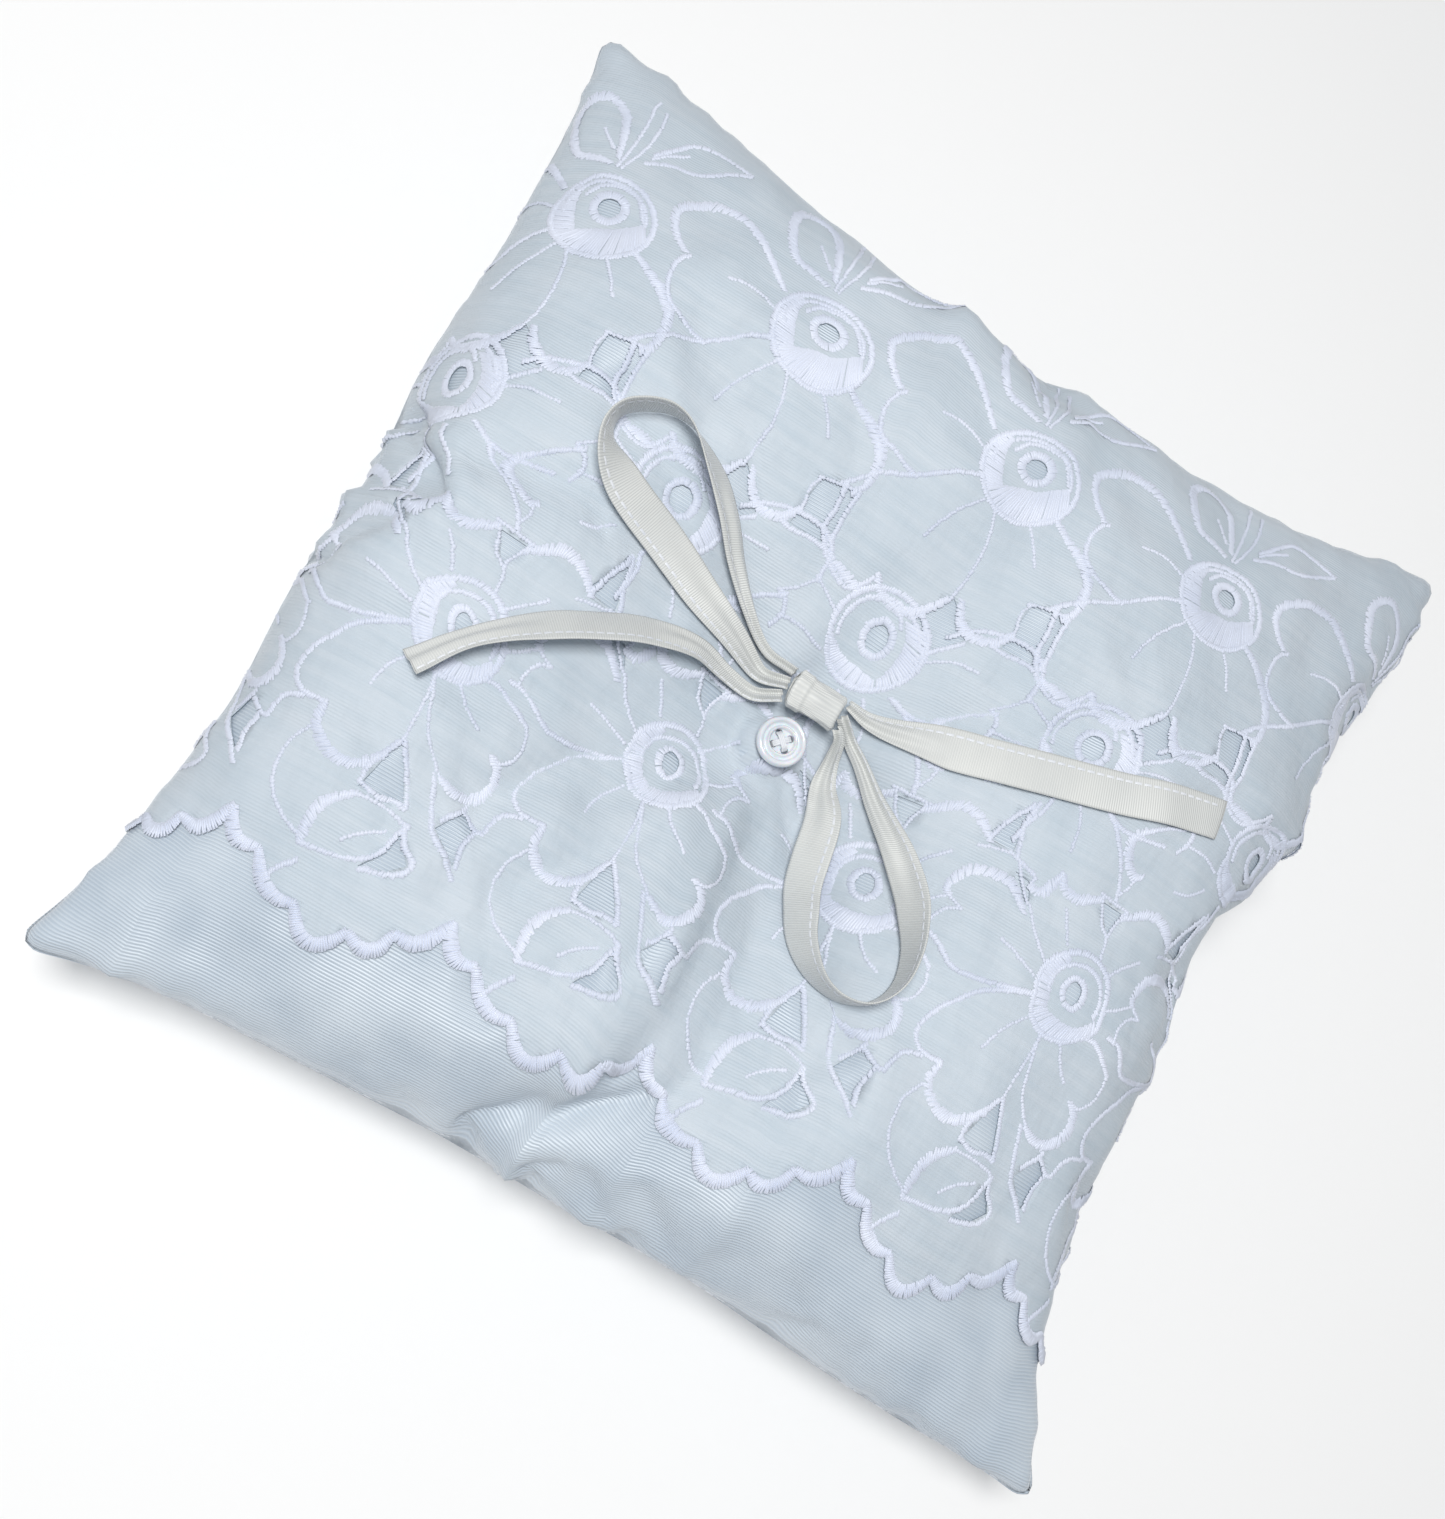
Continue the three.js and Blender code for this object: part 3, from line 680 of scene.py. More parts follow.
LOW_LINES = [
    (THIN, [(-10.7, 2.5), (-14, 5.5), (-17, 8.5), (-19.5, 12.5), (-21.5, 14), (-26.5, 21)]),
    (BOLD, [
        (-20.5, 10.5), (-23, 13), (-26, 15.5), (-29.5, 16),
        (-33.5, 15.3), (-37, 13.5), (-40, 8), (-38.5, 5.5),
    ]),
    (THIN, [(-38.5, 5.5), (-34.5, 3.5)]),
    (THIN, [(-34.5, 3.5), (-37.5, 2), (-39.5, -1.5), (-40, -5)]),
    (MEDIUM, [(-42, -5), (-38, -5.5), (-34, -8), (-30, -10.5), (-25, -10.3), (-20, -9.3), (-10.5, -6)]),
    (THIN, [(-22.5, 1.7), (-19, 0.8), (-16, -0.5), (-12, -1.8)]),
    (THIN, [(-11, 17), (-9.5, 14), (-7.5, 9.5)]),
    (THIN, [(-30, 23), (-26, 21.5), (-22, 20.5), (-22, 17.5)]),
    (BOLD, [(-22, 17.5), (-19, 17.5), (-17.3, 20), (-16, 24.5)]),
    (BOLD, [(-16, 24.5), (-14, 21.5), (-10, 20.8), (-6, 23), (-4, 24.5)]),
    (THIN, [(-4, 24.5), (-1, 19), (2, 16), (2.5, 11)]),
    (THIN, [(3.5, 24.5), (2.5, 20), (2, 16)]),
    (THIN, [(-5, 25.5), (4, 25)]),
    (BOLD, [(3.5, 23), (6, 25), (8.5, 27), (11.5, 28), (15, 27.3), (18.3, 25), (20.5, 22.8)]),
    (THIN, [(18.5, 20.5), (21.5, 21.5), (26.5, 22.5), (30.5, 21.5), (34.5, 20)]),
    (THIN, [(13.5, 16), (9.5, 12), (5.5, 7.5)]),
    (THIN, [(10, 0), (14, 2.5), (17.5, 5.5)]),
    (MEDIUM, [(25, 36), (22, 30), (20, 24)]),
    (MEDIUM, [(26, 37), (25.5, 31), (27, 26), (28, 23)]),
    (MEDIUM, [(8.5, -8), (12.5, -8), (16.5, -10), (21.5, -13)]),
    (THIN, [(21.5, -13), (22.5, -17), (22, -21), (19.5, -24), (17, -23.5)]),
    (BOLD, [(17, -23.5), (19.5, -26), (20.5, -29.5), (19.5, -33), (16.5, -36), (12.5, -36.7), (8.5, -35)]),
    (THIN, [(8.5, -35), (5, -31.5), (2, -27.5), (0, -21), (-1.5, -14)]),
    (THIN, [(4.5, -13), (7.5, -17), (11.5, -20)]),
    (MEDIUM, [
        (-10.5, -6), (-20.5, -12), (-24.5, -17), (-27.5, -21),
        (-29.5, -26), (-29.5, -30), (-26.5, -33), (-21, -33),
    ]),
    (BOLD, [(-21, -33), (-21.5, -38), (-19.5, -41), (-15.5, -43.5), (-10.5, -43), (-7, -40), (-4.5, -37)]),
    (THIN, [(-4.5, -37), (-2.5, -32), (-2, -27), (-1.5, -20), (-1.5, -13)]),
    (THIN, [(-7.5, -12), (-11.5, -18), (-13.5, -24)]),
    (MEDIUM, [(-2, -32), (0.5, -37), (3, -42), (4.5, -46)]),
    (MEDIUM, [(-7, -46), (-2.5, -47), (1.5, -46), (4.5, -46.5)]),
    (MEDIUM, [(-3, -33), (-5.5, -38), (-7, -42), (-7, -46)]),
    (THIN, [
        (-22.5, -40), (-25, -45), (-25.5, -50), (-24.5, -55),
        (-21.5, -59.5), (-17.5, -62.5), (-13.5, -64.5),
    ]),
    (BOLD, [(-12.5, -66), (-13, -60), (-12, -55), (-9.5, -51.5), (-6.5, -49)]),
    (THIN, [(-6.5, -49), (-1, -48.5), (4, -49), (7, -50)]),
    (MEDIUM, [(-12.5, -66), (-7.5, -65), (-2.5, -64), (1.5, -62), (4.5, -58.5), (6, -53), (7, -50)]),
    (THIN, [(-4.5, -60), (-1, -56), (3, -53.5)]),
    (MEDIUM, [(6.5, -50), (8.5, -54), (12, -57), (12, -59.5), (9.5, -62), (5.5, -63.5), (2, -64.5)]),
    (MEDIUM, [(7, -35), (9.5, -42), (12.5, -48), (17.5, -52), (21.5, -56)]),
    (MEDIUM, [(13, -44), (16, -40), (17, -38)]),
    (MEDIUM, [(17, -39.5), (21, -42), (23, -42)]),
    (MEDIUM, [(21, -43), (20, -48), (21, -53)]),
    (MEDIUM, [(23, -42), (24.5, -37), (26.5, -35), (30, -34)]),
]
LOW_HOLES = [
    [(-3, 23.5), (3, 23.5), (1.3, 18)],
    [(-26, 18.5), (-22.5, 18), (-20.8, 13.5), (-24.8, 14.5)],
    [(24.5, 35), (19.5, 24.5), (26, 24)],
    [(-2.5, -33.5), (2.5, -44.5), (-6, -46)],
    [(6.5, -53), (10.5, -58.5), (7.5, -61.5), (2.5, -63), (5, -59)],
    [(17, -40.5), (20.5, -43), (19.5, -51.5), (13.5, -46.5)],
]
MIDDLE_LINES = [
    (THIN, [(13, -0.5), (18, 1.5), (24, 2)]),
    (MEDIUM, [(14, 7), (18, 10.5), (23, 13), (29, 13.8), (34, 12.5), (37, 9), (37.5, 5), (37.3, 1.5)]),
    (THIN, [(37.3, 1.5), (34.5, -1.5), (31, -4.3)]),
    (MEDIUM, [(31, -4.3), (33.5, -6), (34.5, -9.5), (33.5, -12.5)]),
    (MEDIUM, [(30, -13), (24, -14.5), (18, -15), (12, -12.5)]),
    (BOLD, [(-18, 7.5), (-13, 6.5), (-9, 5)]),
    (THIN, [(-19, 2.5), (-15, 0.5), (-11, -1.5)]),
    (THIN, [(-22, -9.5), (-16, -9), (-10, -10.3)]),
    (THIN, [(-9, -16), (-12, -19.5), (-16, -21)]),
    (MEDIUM, [(0, -16), (-0.5, -21), (-2, -26), (-3, -31)]),
    (THIN, [(6, -15), (9, -20), (10.5, -26.5)]),
    (MEDIUM, [(11, -12), (16, -15), (20, -19), (24, -24), (26.5, -28), (27.5, -31)]),
    (BOLD, [(25, -11), (22.5, -14), (22.5, -18), (25, -21.5), (28, -23.5), (30, -22.5)]),
    (MEDIUM, [(25, -11), (28, -8), (31, -6), (33, -4.5)]),
    (THIN, [(29, -23), (28.5, -27), (27, -30)]),
]
TOP_LINES = [
    (BOLD, [
        (-13, 3.5), (-18, 8), (-23, 12), (-28, 14.5), (-34, 14),
        (-38, 12), (-42, 8), (-41.5, 4), (-39, 0.5), (-36, -2),
    ]),
    (MEDIUM, [(-34.5, -2.3), (-36, -3.5), (-37, -7), (-36, -11.5), (-33, -14.5), (-27, -16.7), (-23, -17)]),
    (MEDIUM, [(-37, -27), (-34, -24), (-30, -21), (-25, -18), (-19, -13.5), (-15, -10.5), (-11, -8.5)]),
    (THIN, [(-25, -2), (-21, -1), (-17, -1), (-13, -2.3)]),
    (MEDIUM, [(-36, -26), (-35.5, -32), (-35.5, -37), (-32, -42)]),
    (MEDIUM, [(-32, -42), (-28, -44.5), (-24, -45), (-21, -42), (-19.5, -39)]),
    (BOLD, [(-19.5, -39), (-17, -41.5), (-13, -42.5), (-8, -41.5), (-5, -38), (-3, -35)]),
    (THIN, [(-4, -13), (-2, -18), (-1.2, -24), (-1.5, -30), (-2.5, -35)]),
    (THIN, [(-7.5, -12.5), (-11, -17), (-13.5, -22), (-15, -26.5)]),
    (THIN, [(5.5, -12.5), (8.5, -16), (11, -20)]),
    (BOLD, [(10, -8), (14, -10), (19, -13), (23, -17), (24, -21), (24, -25), (22, -28)]),
    (BOLD, [(0, -34), (2, -38), (6, -41), (11, -40), (14, -36)]),
    (THIN, [(14, -36), (13.5, -31), (14.5, -28)]),
    (THIN, [(14, -28), (22, -27)]),
    (MEDIUM, [(23.5, -27), (23, -34), (23.5, -40)]),
    (MEDIUM, [(10, -40), (14, -41), (20, -40.5), (26, -42)]),
    (MEDIUM, [(6, -43), (1, -47), (-2, -50.5)]),
    (THIN, [(-3, 11), (-2, 20), (-1, 32)]),
    (THIN, [(-2, 11), (1, 20), (2, 30)]),
    (BOLD, [
        (-5, 11), (-9, 12), (-14, 13), (-17, 18), (-18, 24),
        (-16, 28), (-11, 29), (-7, 25), (-5, 18), (-4, 13),
    ]),
    (THIN, [(-6, 15), (-8, 17.5), (-10, 20)]),
    (MEDIUM, [(2, 15), (8, 18), (13, 19), (17, 21), (21, 24), (25, 26.5)]),
    (MEDIUM, [(3, 18), (7, 23), (11, 27), (17, 28), (25, 26.8)]),
    (THIN, [(3, 17), (6, 20), (10, 23)]),
]
TOP_HOLES = [
    [(15.5, -29), (22, -28.5), (21.5, -38.5), (14.5, -38.5)],
    [(-2, -35.5), (4.5, -41.5), (-1, -47), (-6, -42)],
]
HEM_SCALLOPS = [
    [(-29, -65), (-28, -69), (-25, -72.5), (-20, -72)],
    [(-20, -72), (-16, -78), (-11, -80.5), (-7, -79.5)],
    [(-7, -79.5), (-3, -85), (1, -86), (4.5, -83), (6.5, -79)],
    [(6.5, -79), (11, -81), (14.5, -79), (16, -74)],
    [(16, -74), (20.5, -74), (24, -71), (26, -67), (27, -65)],
]
HEM_STEM = [(-11, -70), (-14, -74), (-16, -78)]


def on_cloth(points, column, origin=(0, 0), stretch=1.0):
    """Pattern units around an eye become cloth coordinates."""
    points = np.asarray(points, float)
    x = origin[0] + points[:, 0]
    y = origin[1] + points[:, 1] * stretch
    v = FIRST_EYE[1] + 0.894 * y + 0.0005 * y * y
    u = (FIRST_EYE[0] + PITCH * (column + x / REPEAT)) * (1 + SPREAD * (v - FIRST_EYE[1]))
    return np.stack([u, v], 1)


def arc(center, radii, first, last, count=14):
    angle = np.radians(np.linspace(first, last, count))
    return np.stack([center[0] + radii[0] * np.cos(angle), center[1] + radii[1] * np.sin(angle)], 1)


# ---- Lace and embroidery ----
LACE = 0.22  # thickness of the organza
LACE_GAP = 0.3  # between lace and front panel
LACE_EDGE = PANEL / 2 - 0.6  # where the lace ends in the seams
LACE_CELL = 2.6
HEM_LIFT = 0.6  # how far the free hem stands off
STITCH_HEIGHT = 0.5


def lace_lift(u, v):
    """Height of the loose lace above the front panel: none at the sewn sides, most at the free hem."""
    inset = np.minimum(PANEL / 2 - np.abs(u), PANEL / 2 - v)
    loose = np.clip(inset / 14, 0, 1)
    ripple = np.sin(u / 9 + 1.3 * np.sin(v / 17)) * np.sin(v / 11 + np.sin(u / 23))
    hem = np.clip((-62 - v) / 35, 0, 1)
    return LACE_GAP * (0.3 + 0.7 * loose) + loose * (0.12 * (1 + ripple) + HEM_LIFT * hem)


class Needle:
    """Collects stitches lying on the lace, each one a short raised bar of thread."""

    STATIONS = np.array([0, 0.22, 0.78, 1])
    RISE = np.array([0, 0.9, 0.9, 0])

    def __init__(self, front):
        self.front = front
        self.points = []

    def sew(self, start, end, thread=0.7, height=STITCH_HEIGHT):
        limit = PANEL / 2 - 1.2
        kept = (np.abs(start) < limit).all(1) & (np.abs(end) < limit).all(1)
        start, end = start[kept], end[kept]
        if not len(start):
            return
        run = end - start
        run = run / np.maximum(np.linalg.norm(run, axis=1, keepdims=True), 1e-6)
        side = np.stack([-run[:, 1], run[:, 0]], 1) * thread / 2
        height = height * rng.uniform(0.8, 1.15, len(start))
        t = self.STATIONS[None, :, None, None]
        across = np.array([-1, 0, 1])[None, None, :, None]
        flat = start[:, None, None] * (1 - t) + end[:, None, None] * t + side[:, None, None] * across
        rise = height[:, None, None] * self.RISE[None, :, None] * np.array([0.15, 1, 0.15])[None, None, :]
        u, v = flat[..., 0], flat[..., 1]
        self.points.append(self.front.lifted(u, v, lace_lift(u, v) + LACE + 0.02 + rise))

    def line(self, points, width, pitch=None, slant=0.5, height=STITCH_HEIGHT, rough=1.0):
        """A satin-stitched line: slanted stitches side by side along a smooth curve."""
        pitch = pitch or (0.8 if width < MEDIUM else 0.62)
        path = smooth_curve(points, pitch)
        run = directions(path)
        side = np.stack([-run[:, 1], run[:, 0]], 1)
        swell = np.ones(len(path))
        if width >= BOLD:
            swell = 0.65 + 0.5 * np.sin(np.linspace(0, math.pi, len(path)))
        half = width / 2 * swell[:, None] * (1 + rough * rng.uniform(-0.18, 0.15, (len(path), 1)))
        lean = run * half * rng.normal(slant, 0.12 * rough, (len(path), 1))
        shake = rng.normal(0, 0.07 * rough, path.shape)
        self.sew(path - side * half - lean + shake, path + side * half + lean + shake, pitch * 1.05, height)

    def fill(self, edge_a, edge_b, pitch=0.7, height=STITCH_HEIGHT):
        """Satin stitches from one edge of a shape to the other."""
        a, b = smooth_curve(edge_a, 0.3), smooth_curve(edge_b, 0.3)
        length = max(len(a), len(b)) * 0.3
        count = max(3, round(length / pitch))
        k = np.linspace(0, 1, count)
        ends = []
        for curve in (a, b):
            at = k * (len(curve) - 1)
            ends.append(np.stack([np.interp(at, np.arange(len(curve)), curve[:, c]) for c in (0, 1)], 1))
        shake = rng.normal(0, 0.1, ends[0].shape)
        self.sew(ends[0] + shake, ends[1] + shake, pitch, height)

    def piece(self, name, material):
        points = np.concatenate(self.points)
        count = len(points)
        one = grid_faces(4, 3)
        faces = (np.arange(count)[:, None, None] * 12 + one[None]).reshape(-1, 4)
        return make_piece(name, points.reshape(-1, 3), faces, material)


def low_flower(needle, column):
    place = partial(on_cloth, column=column)
    for width, points in LOW_LINES:
        needle.line(place(points), width)
    rim = ((0, -1.5), (10.3, 11.6))
    needle.line(place(arc(*rim, 0, 360, 40)), 1.5)
    needle.line(place(arc((0.8, -0.5), (7.6, 7.6), -20, 200, 30)), 1.2)
    inner_left = [(-4.5, 6.5), (-5.7, 3), (-6, -1), (-5.5, -5), (-5, -7)]
    needle.fill(place(arc(*rim, 130, 215)), place(inner_left))
    inner_low = [(-5, -6.8), (-2, -7.8), (1.5, -8), (5, -7), (8.5, -3.5)]
    needle.fill(place(arc(*rim, 222, 335)), place(inner_low))
    eyelet(needle, place, (0.3, -0.3), (2.1, 3.0), (3.9, 4.6))


def middle_flower(needle, column):
    place = partial(on_cloth, column=column, origin=MIDDLE_EYE)
    for width, points in MIDDLE_LINES:
        needle.line(place(points), width)
    rim = ((0.5, -1.5), (11.6, 12.3))
    needle.line(place(arc(*rim, 0, 360, 40)), 1.5)
    needle.line(place(arc((0.5, -1.5), (9.7, 10.2), 20, 200, 30)), 1.1)
    needle.fill(place(arc(*rim, 200, 300)), place([(-9, -6), (-5, -8), (1, -9), (5, -9.5)]))
    needle.fill(place(arc(*rim, 306, 395)), place([(6, -9), (7, -3), (6.5, 2), (4, 6)]))
    needle.line(place([(-9, 0), (-7, 5), (-2, 7.5), (2, 6.5), (4, 4)]), 1.1)
    eyelet(needle, place, (0.5, -1), (2.7, 3.5), (4.5, 5.4))


def top_flower(needle, column):
    place = partial(on_cloth, column=column, origin=TOP_EYE, stretch=TOP_STRETCH)
    for width, points in TOP_LINES:
        needle.line(place(points), width)
    rim = ((-0.5, -2.5), (12.0, 10.7))
    needle.line(place(arc(*rim, 0, 360, 40)), 1.5)
    needle.line(place(arc((-0.5, -2.0), (9.8, 8.8), 10, 190, 30)), 1.1)
    needle.fill(place(arc(*rim, 140, 215)), place([(-7.5, 4), (-8, 0), (-6.5, -5), (-5, -8)]))
    needle.fill(place(arc(*rim, 220, 345)), place([(-5, -7.5), (-1, -5.5), (4, -4), (9, -0.5)]))
    needle.line(place([(-6.5, 2), (-4, 5), (0, 6), (5, 5), (8.5, 0)]), 1.1)
    eyelet(needle, place, (0, 0.3), (2.7, 2.4), (4.8, 4.3))


def eyelet(needle, place, center, hole, reach):
    """An open eye with stitches standing out all round it."""
    needle.fill(place(arc(center, hole, 0, 360, 40)), place(arc(center, reach, 0, 360, 40)), 0.75)


def eyelet_holes(column):
    yield on_cloth(arc((0.3, -0.3), (2.1, 3.0), 0, 345, 16), column)
    yield on_cloth(arc((0.5, -1), (2.7, 3.5), 0, 345, 16), column, MIDDLE_EYE)
    yield on_cloth(arc((0, 0.3), (2.7, 2.4), 0, 345, 16), column, TOP_EYE, TOP_STRETCH)


def widened(points, share):
    """An outline made larger about its middle."""
    middle = points.mean(0)
    return middle + (points - middle) * share


def lace_holes():
    for column in COLUMNS:
        yield from eyelet_holes(column)
        for points in LOW_HOLES:
            yield widened(on_cloth(points, column), LOW_HOLE_SIZE)
        for points in TOP_HOLES:
            yield widened(on_cloth(points, column, TOP_EYE, TOP_STRETCH), TOP_HOLE_SIZE)


def hem(needle, column):
    for points in HEM_SCALLOPS:
        needle.line(on_cloth(points, column), HEM, 0.5, 0.15, 1.5 * STITCH_HEIGHT, 0.4)
    needle.line(on_cloth(HEM_STEM, column), MEDIUM)


def hem_edge():
    """The free edge of the lace, from left to right."""
    runs = [smooth_curve(on_cloth(p, column), 1.5)[:-1] for column in COLUMNS for p in HEM_SCALLOPS]
    edge = np.concatenate(runs)
    side = LACE_EDGE
    edge = edge[np.abs(edge[:, 0]) < side - 0.4]
    return np.concatenate([[[-side, edge[0, 1]]], edge, [[side, edge[-1, 1]]]])


def inside(points, outline):
    """Which points lie inside a closed outline."""
    x, y = points[:, 0], points[:, 1]
    found = np.zeros(len(points), bool)
    for a, b in zip(outline, np.roll(outline, -1, 0)):
        crosses = (a[1] > y) != (b[1] > y)
        slope = (b[0] - a[0]) / ((b[1] - a[1]) or 1e-9)
        found ^= crosses & (x < a[0] + slope * (y - a[1]))
    return found


def lace_sheet(front, material):
    """The organza: triangles over its outline with every hole cut out, laid on the front panel."""
    side = LACE_EDGE
    edge = hem_edge()
    up = np.arange(edge[-1, 1] + 3, side, 3.0)
    down = np.arange(edge[0, 1] + 3, side, 3.0)[::-1]
    across = np.arange(side - 3, -side, -3.0)
    outline = np.concatenate(
        [
            edge,
            np.stack([np.full(len(up), side), up], 1),
            [[side, side]],
            np.stack([across, np.full(len(across), side)], 1),
            [[-side, side]],
            np.stack([np.full(len(down), -side), down], 1),
        ]
    )
    holes = [hole for hole in lace_holes() if (np.abs(hole) < side - 2).all()]
    points, edges = [outline], [ring_edges(len(outline), 0)]
    count = len(outline)
    for hole in holes:
        sides = zip(hole, np.roll(hole, -1, 0))
        dense = np.concatenate([np.linspace(a, b, 3, endpoint=False) for a, b in sides])
        points.append(dense)
        edges.append(ring_edges(len(dense), count))
        count += len(dense)
    line = np.arange(-side + LACE_CELL / 2, side - 1, LACE_CELL)
    grid = np.stack(np.meshgrid(line, line, indexing="ij"), -1).reshape(-1, 2)
    grid = grid[inside(grid, outline)]
    border = np.concatenate(points)
    gap = ((grid[:, None] - border[None]) ** 2).sum(-1).min(1)
    points.append(grid[gap > 0.8])
    flat = np.concatenate(points)
    edges = np.concatenate(edges).tolist()
    cut = delaunay_2d_cdt([Vector(p) for p in flat], edges, [], 0, 1e-5)
    flat = np.array([tuple(p) for p in cut[0]])
    faces = np.array(cut[2])
    middle = flat[faces].mean(1)
    kept = inside(middle, outline)
    for hole in holes:
        kept &= ~inside(middle, hole)
    return sheet_piece("lace_overlay_sheet", front, flat, faces[kept], material), flat, faces[kept]


def ring_edges(count, offset):
    here = np.arange(count)
    return np.stack([here, (here + 1) % count], 1) + offset


def sheet_piece(name, front, flat, faces, material):
    """A thin sheet over the front panel from flat triangles, closed round its edges."""
    u, v = flat[:, 0], flat[:, 1]
    lift = lace_lift(u, v)
    count = len(flat)
    points = np.concatenate([front.lifted(u, v, lift + LACE), front.lifted(u, v, lift)])
    sides = np.concatenate([faces[:, [0, 1]], faces[:, [1, 2]], faces[:, [2, 0]]])
    known = {(int(a), int(b)) for a, b in sides}
    rim = [(a, b) for a, b in known if (b, a) not in known]
    walls = [t for a, b in sorted(rim) for t in ((b, a, a + count), (b, a + count, b + count))]
    faces = np.concatenate([faces, faces[:, ::-1] + count, np.array(walls)])
    return make_piece(name, points, faces, material, np.concatenate([flat, flat]))


def make_lace(front, materials):
    sheet, flat, faces = lace_sheet(front, materials["organza"])
    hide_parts("lace_overlay")
    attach(sheet, "pillow")
    trims = []
    rows = (
        ("top_flowers", top_flower, 1, 4),
        ("middle_flowers", middle_flower, 2, 3),
        ("low_flowers", low_flower, 3, 4),
    )
    for name, flower, row, eyes in rows:
        needle = Needle(front)
        for column in COLUMNS:
            flower(needle, column)
        piece = needle.piece(name, materials["embroidery"])
        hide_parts(*[f"flower_eye_{row}_{eye + 1}" for eye in range(eyes)])
        trims.append(piece)
    needle = Needle(front)
    for column in COLUMNS:
        hem(needle, column)
    scallops = needle.piece("scalloped_hem", materials["embroidery"])
    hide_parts("lace_scalloped_hem")
    trims.append(scallops)
    for piece in trims:
        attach(piece, "pillow")


# ---- Ribbons: routes repeated from the CAD model ----
RIBBON_WIDTH = 9.5
RIBBON_THICKNESS = 0.3
DRESSING = 1.3  # lace and embroidery standing above the front panel
PINCHED = 2.6  # width of a strand where the knot gathers it
KNOT_AT = (-8.5, 0.0)
KNOT_LENGTH = 12.2
KNOT_WIDTH = 8.8
KNOT_LOW, KNOT_HIGH = cad_range("bow_knot")
KNOT_LEFT = KNOT_AT[0] - KNOT_LENGTH / 2 - 0.9
KNOT_RIGHT = KNOT_AT[0] + KNOT_LENGTH / 2 + 0.9
W = RIBBON_WIDTH
STITCH_LINE = 0.62  # where the thread line runs across the ribbon
STITCH_HALF = 0.06  # half its width, as a share of half the ribbon's
STITCH_LENGTH = 1.7
SLANTED_CUT = 1.2  # how far one corner of the right tail's cut end runs past the other
STITCH_STEP = 1.35 * STITCH_LENGTH
KNOT_REACH = 7  # rows of a strand that run down into the knot
CLEARANCE = 0.4  # least gap between a strand's edge and what it lies on
BUNDLE_HALF = (3.6, 1.35)  # half the width and height of the ribbon gathered in the knot

# Points [x, y, lift, width, tilt]: lift is the height of the middle above the dressed pillow.
UPPER_LOOP = [
    [KNOT_LEFT, 0, 3, PINCHED, 0],
    [-21, -0.2, 3, 3.6, 0],
    [-30, 2.3, 3, 6, 0],
    [-43, 6, 3, 8.5, 0],
    [-57, 11, 3, W, 0],
    [-69, 15, 4, W, 10],
    [-77, 21, 6, W, 60],
    [-77, 28.5, 7, W, 85],
    [-70, 33.5, 7, W, 95],
    [-62, 33.5, 6, W, 110],
    [-53, 28.5, 5, W, 130],
    [-46, 22.5, 4, 8, 140],
    [-39, 16, 4, 6, 150],
    [-31, 9.6, 4, 4, 160],
    [-23, 5, 3, 3, 170],
    [KNOT_LEFT, 3.2, 3, PINCHED, 180],
]
LEFT_TAIL = [
    [KNOT_LEFT, -3.2, 3, PINCHED, 0],
    [-21, -5, 3, 3.2, 10],
    [-29, -5, 2.5, 4.4, 25],
    [-37, -5, 2, 7, 35],
    [-48, -8.5, 2, W, 40],
    [-58, -14, 2, W, 40],
    [-67, -20, 2, W, 40],
    [-75, -26.5, 2.5, 8, 45],
    [-81, -32.5, 3, 7, 45],
    [-87.5, -41.5, 3, 7, 30],
]
RIGHT_TAIL = [
    [KNOT_RIGHT, 3, 3, PINCHED, 0],
    [4, 2.6, 3, 4, 0],
    [12, 3.2, 2.5, 6.5, 0],
    [22, 5, 2, W, 0],
    [32, 7, 2, W, 0],
    [45, 10, 2, W, 0],
    [59, 14, 2, W, 0],
    [73, 19, 2, W, 0],
    [84, 22.5, 2, W, 0],
]
LOWER_LOOP = [
    [KNOT_RIGHT, -3.2, 3, PINCHED, 0],
    [0.6, -4.6, 3, 3.2, 0],
    [2.4, -8.5, 3, 4, 0],
    [4, -14, 3, 6, 15],
    [6.5, -21, 3, 8.5, 35],
    [8, -30, 3.5, W, 42],
    [10.5, -40, 4.5, W, 50],
    [14.5, -49, 6, W, 65],
    [21, -55, 7, W, 85],
    [28.5, -55.5, 7, W, 90],
    [33.2, -49.5, 7, W, 90],
    [33.2, -41, 6.5, W, 100],
    [29.5, -31.5, 5.5, W, 120],
    [24, -23, 4.5, 8, 140],
    [18, -16, 4, 6, 155],
    [11, -9, 3, 4, 165],
    [4.5, -3.6, 3, 3, 175],
    [KNOT_RIGHT, 0, 3, PINCHED, 180],
]


class Ground:
    """The height of the dressed front panel above a point of the plan."""

    def __init__(self, panel):
        grid = panel.grid[::2, ::2]
        rows, columns = grid.shape[:2]
        points = [Vector(p) for p in grid.reshape(-1, 3)]
        self.tree = BVHTree.FromPolygons(points, grid_faces(rows, columns).tolist())

    def height(self, x, y):
        hit = self.tree.ray_cast(Vector((x, y, 300.0)), Vector((0, 0, -1)))[0]
        return (hit.z if hit else SEAM_Z) + DRESSING


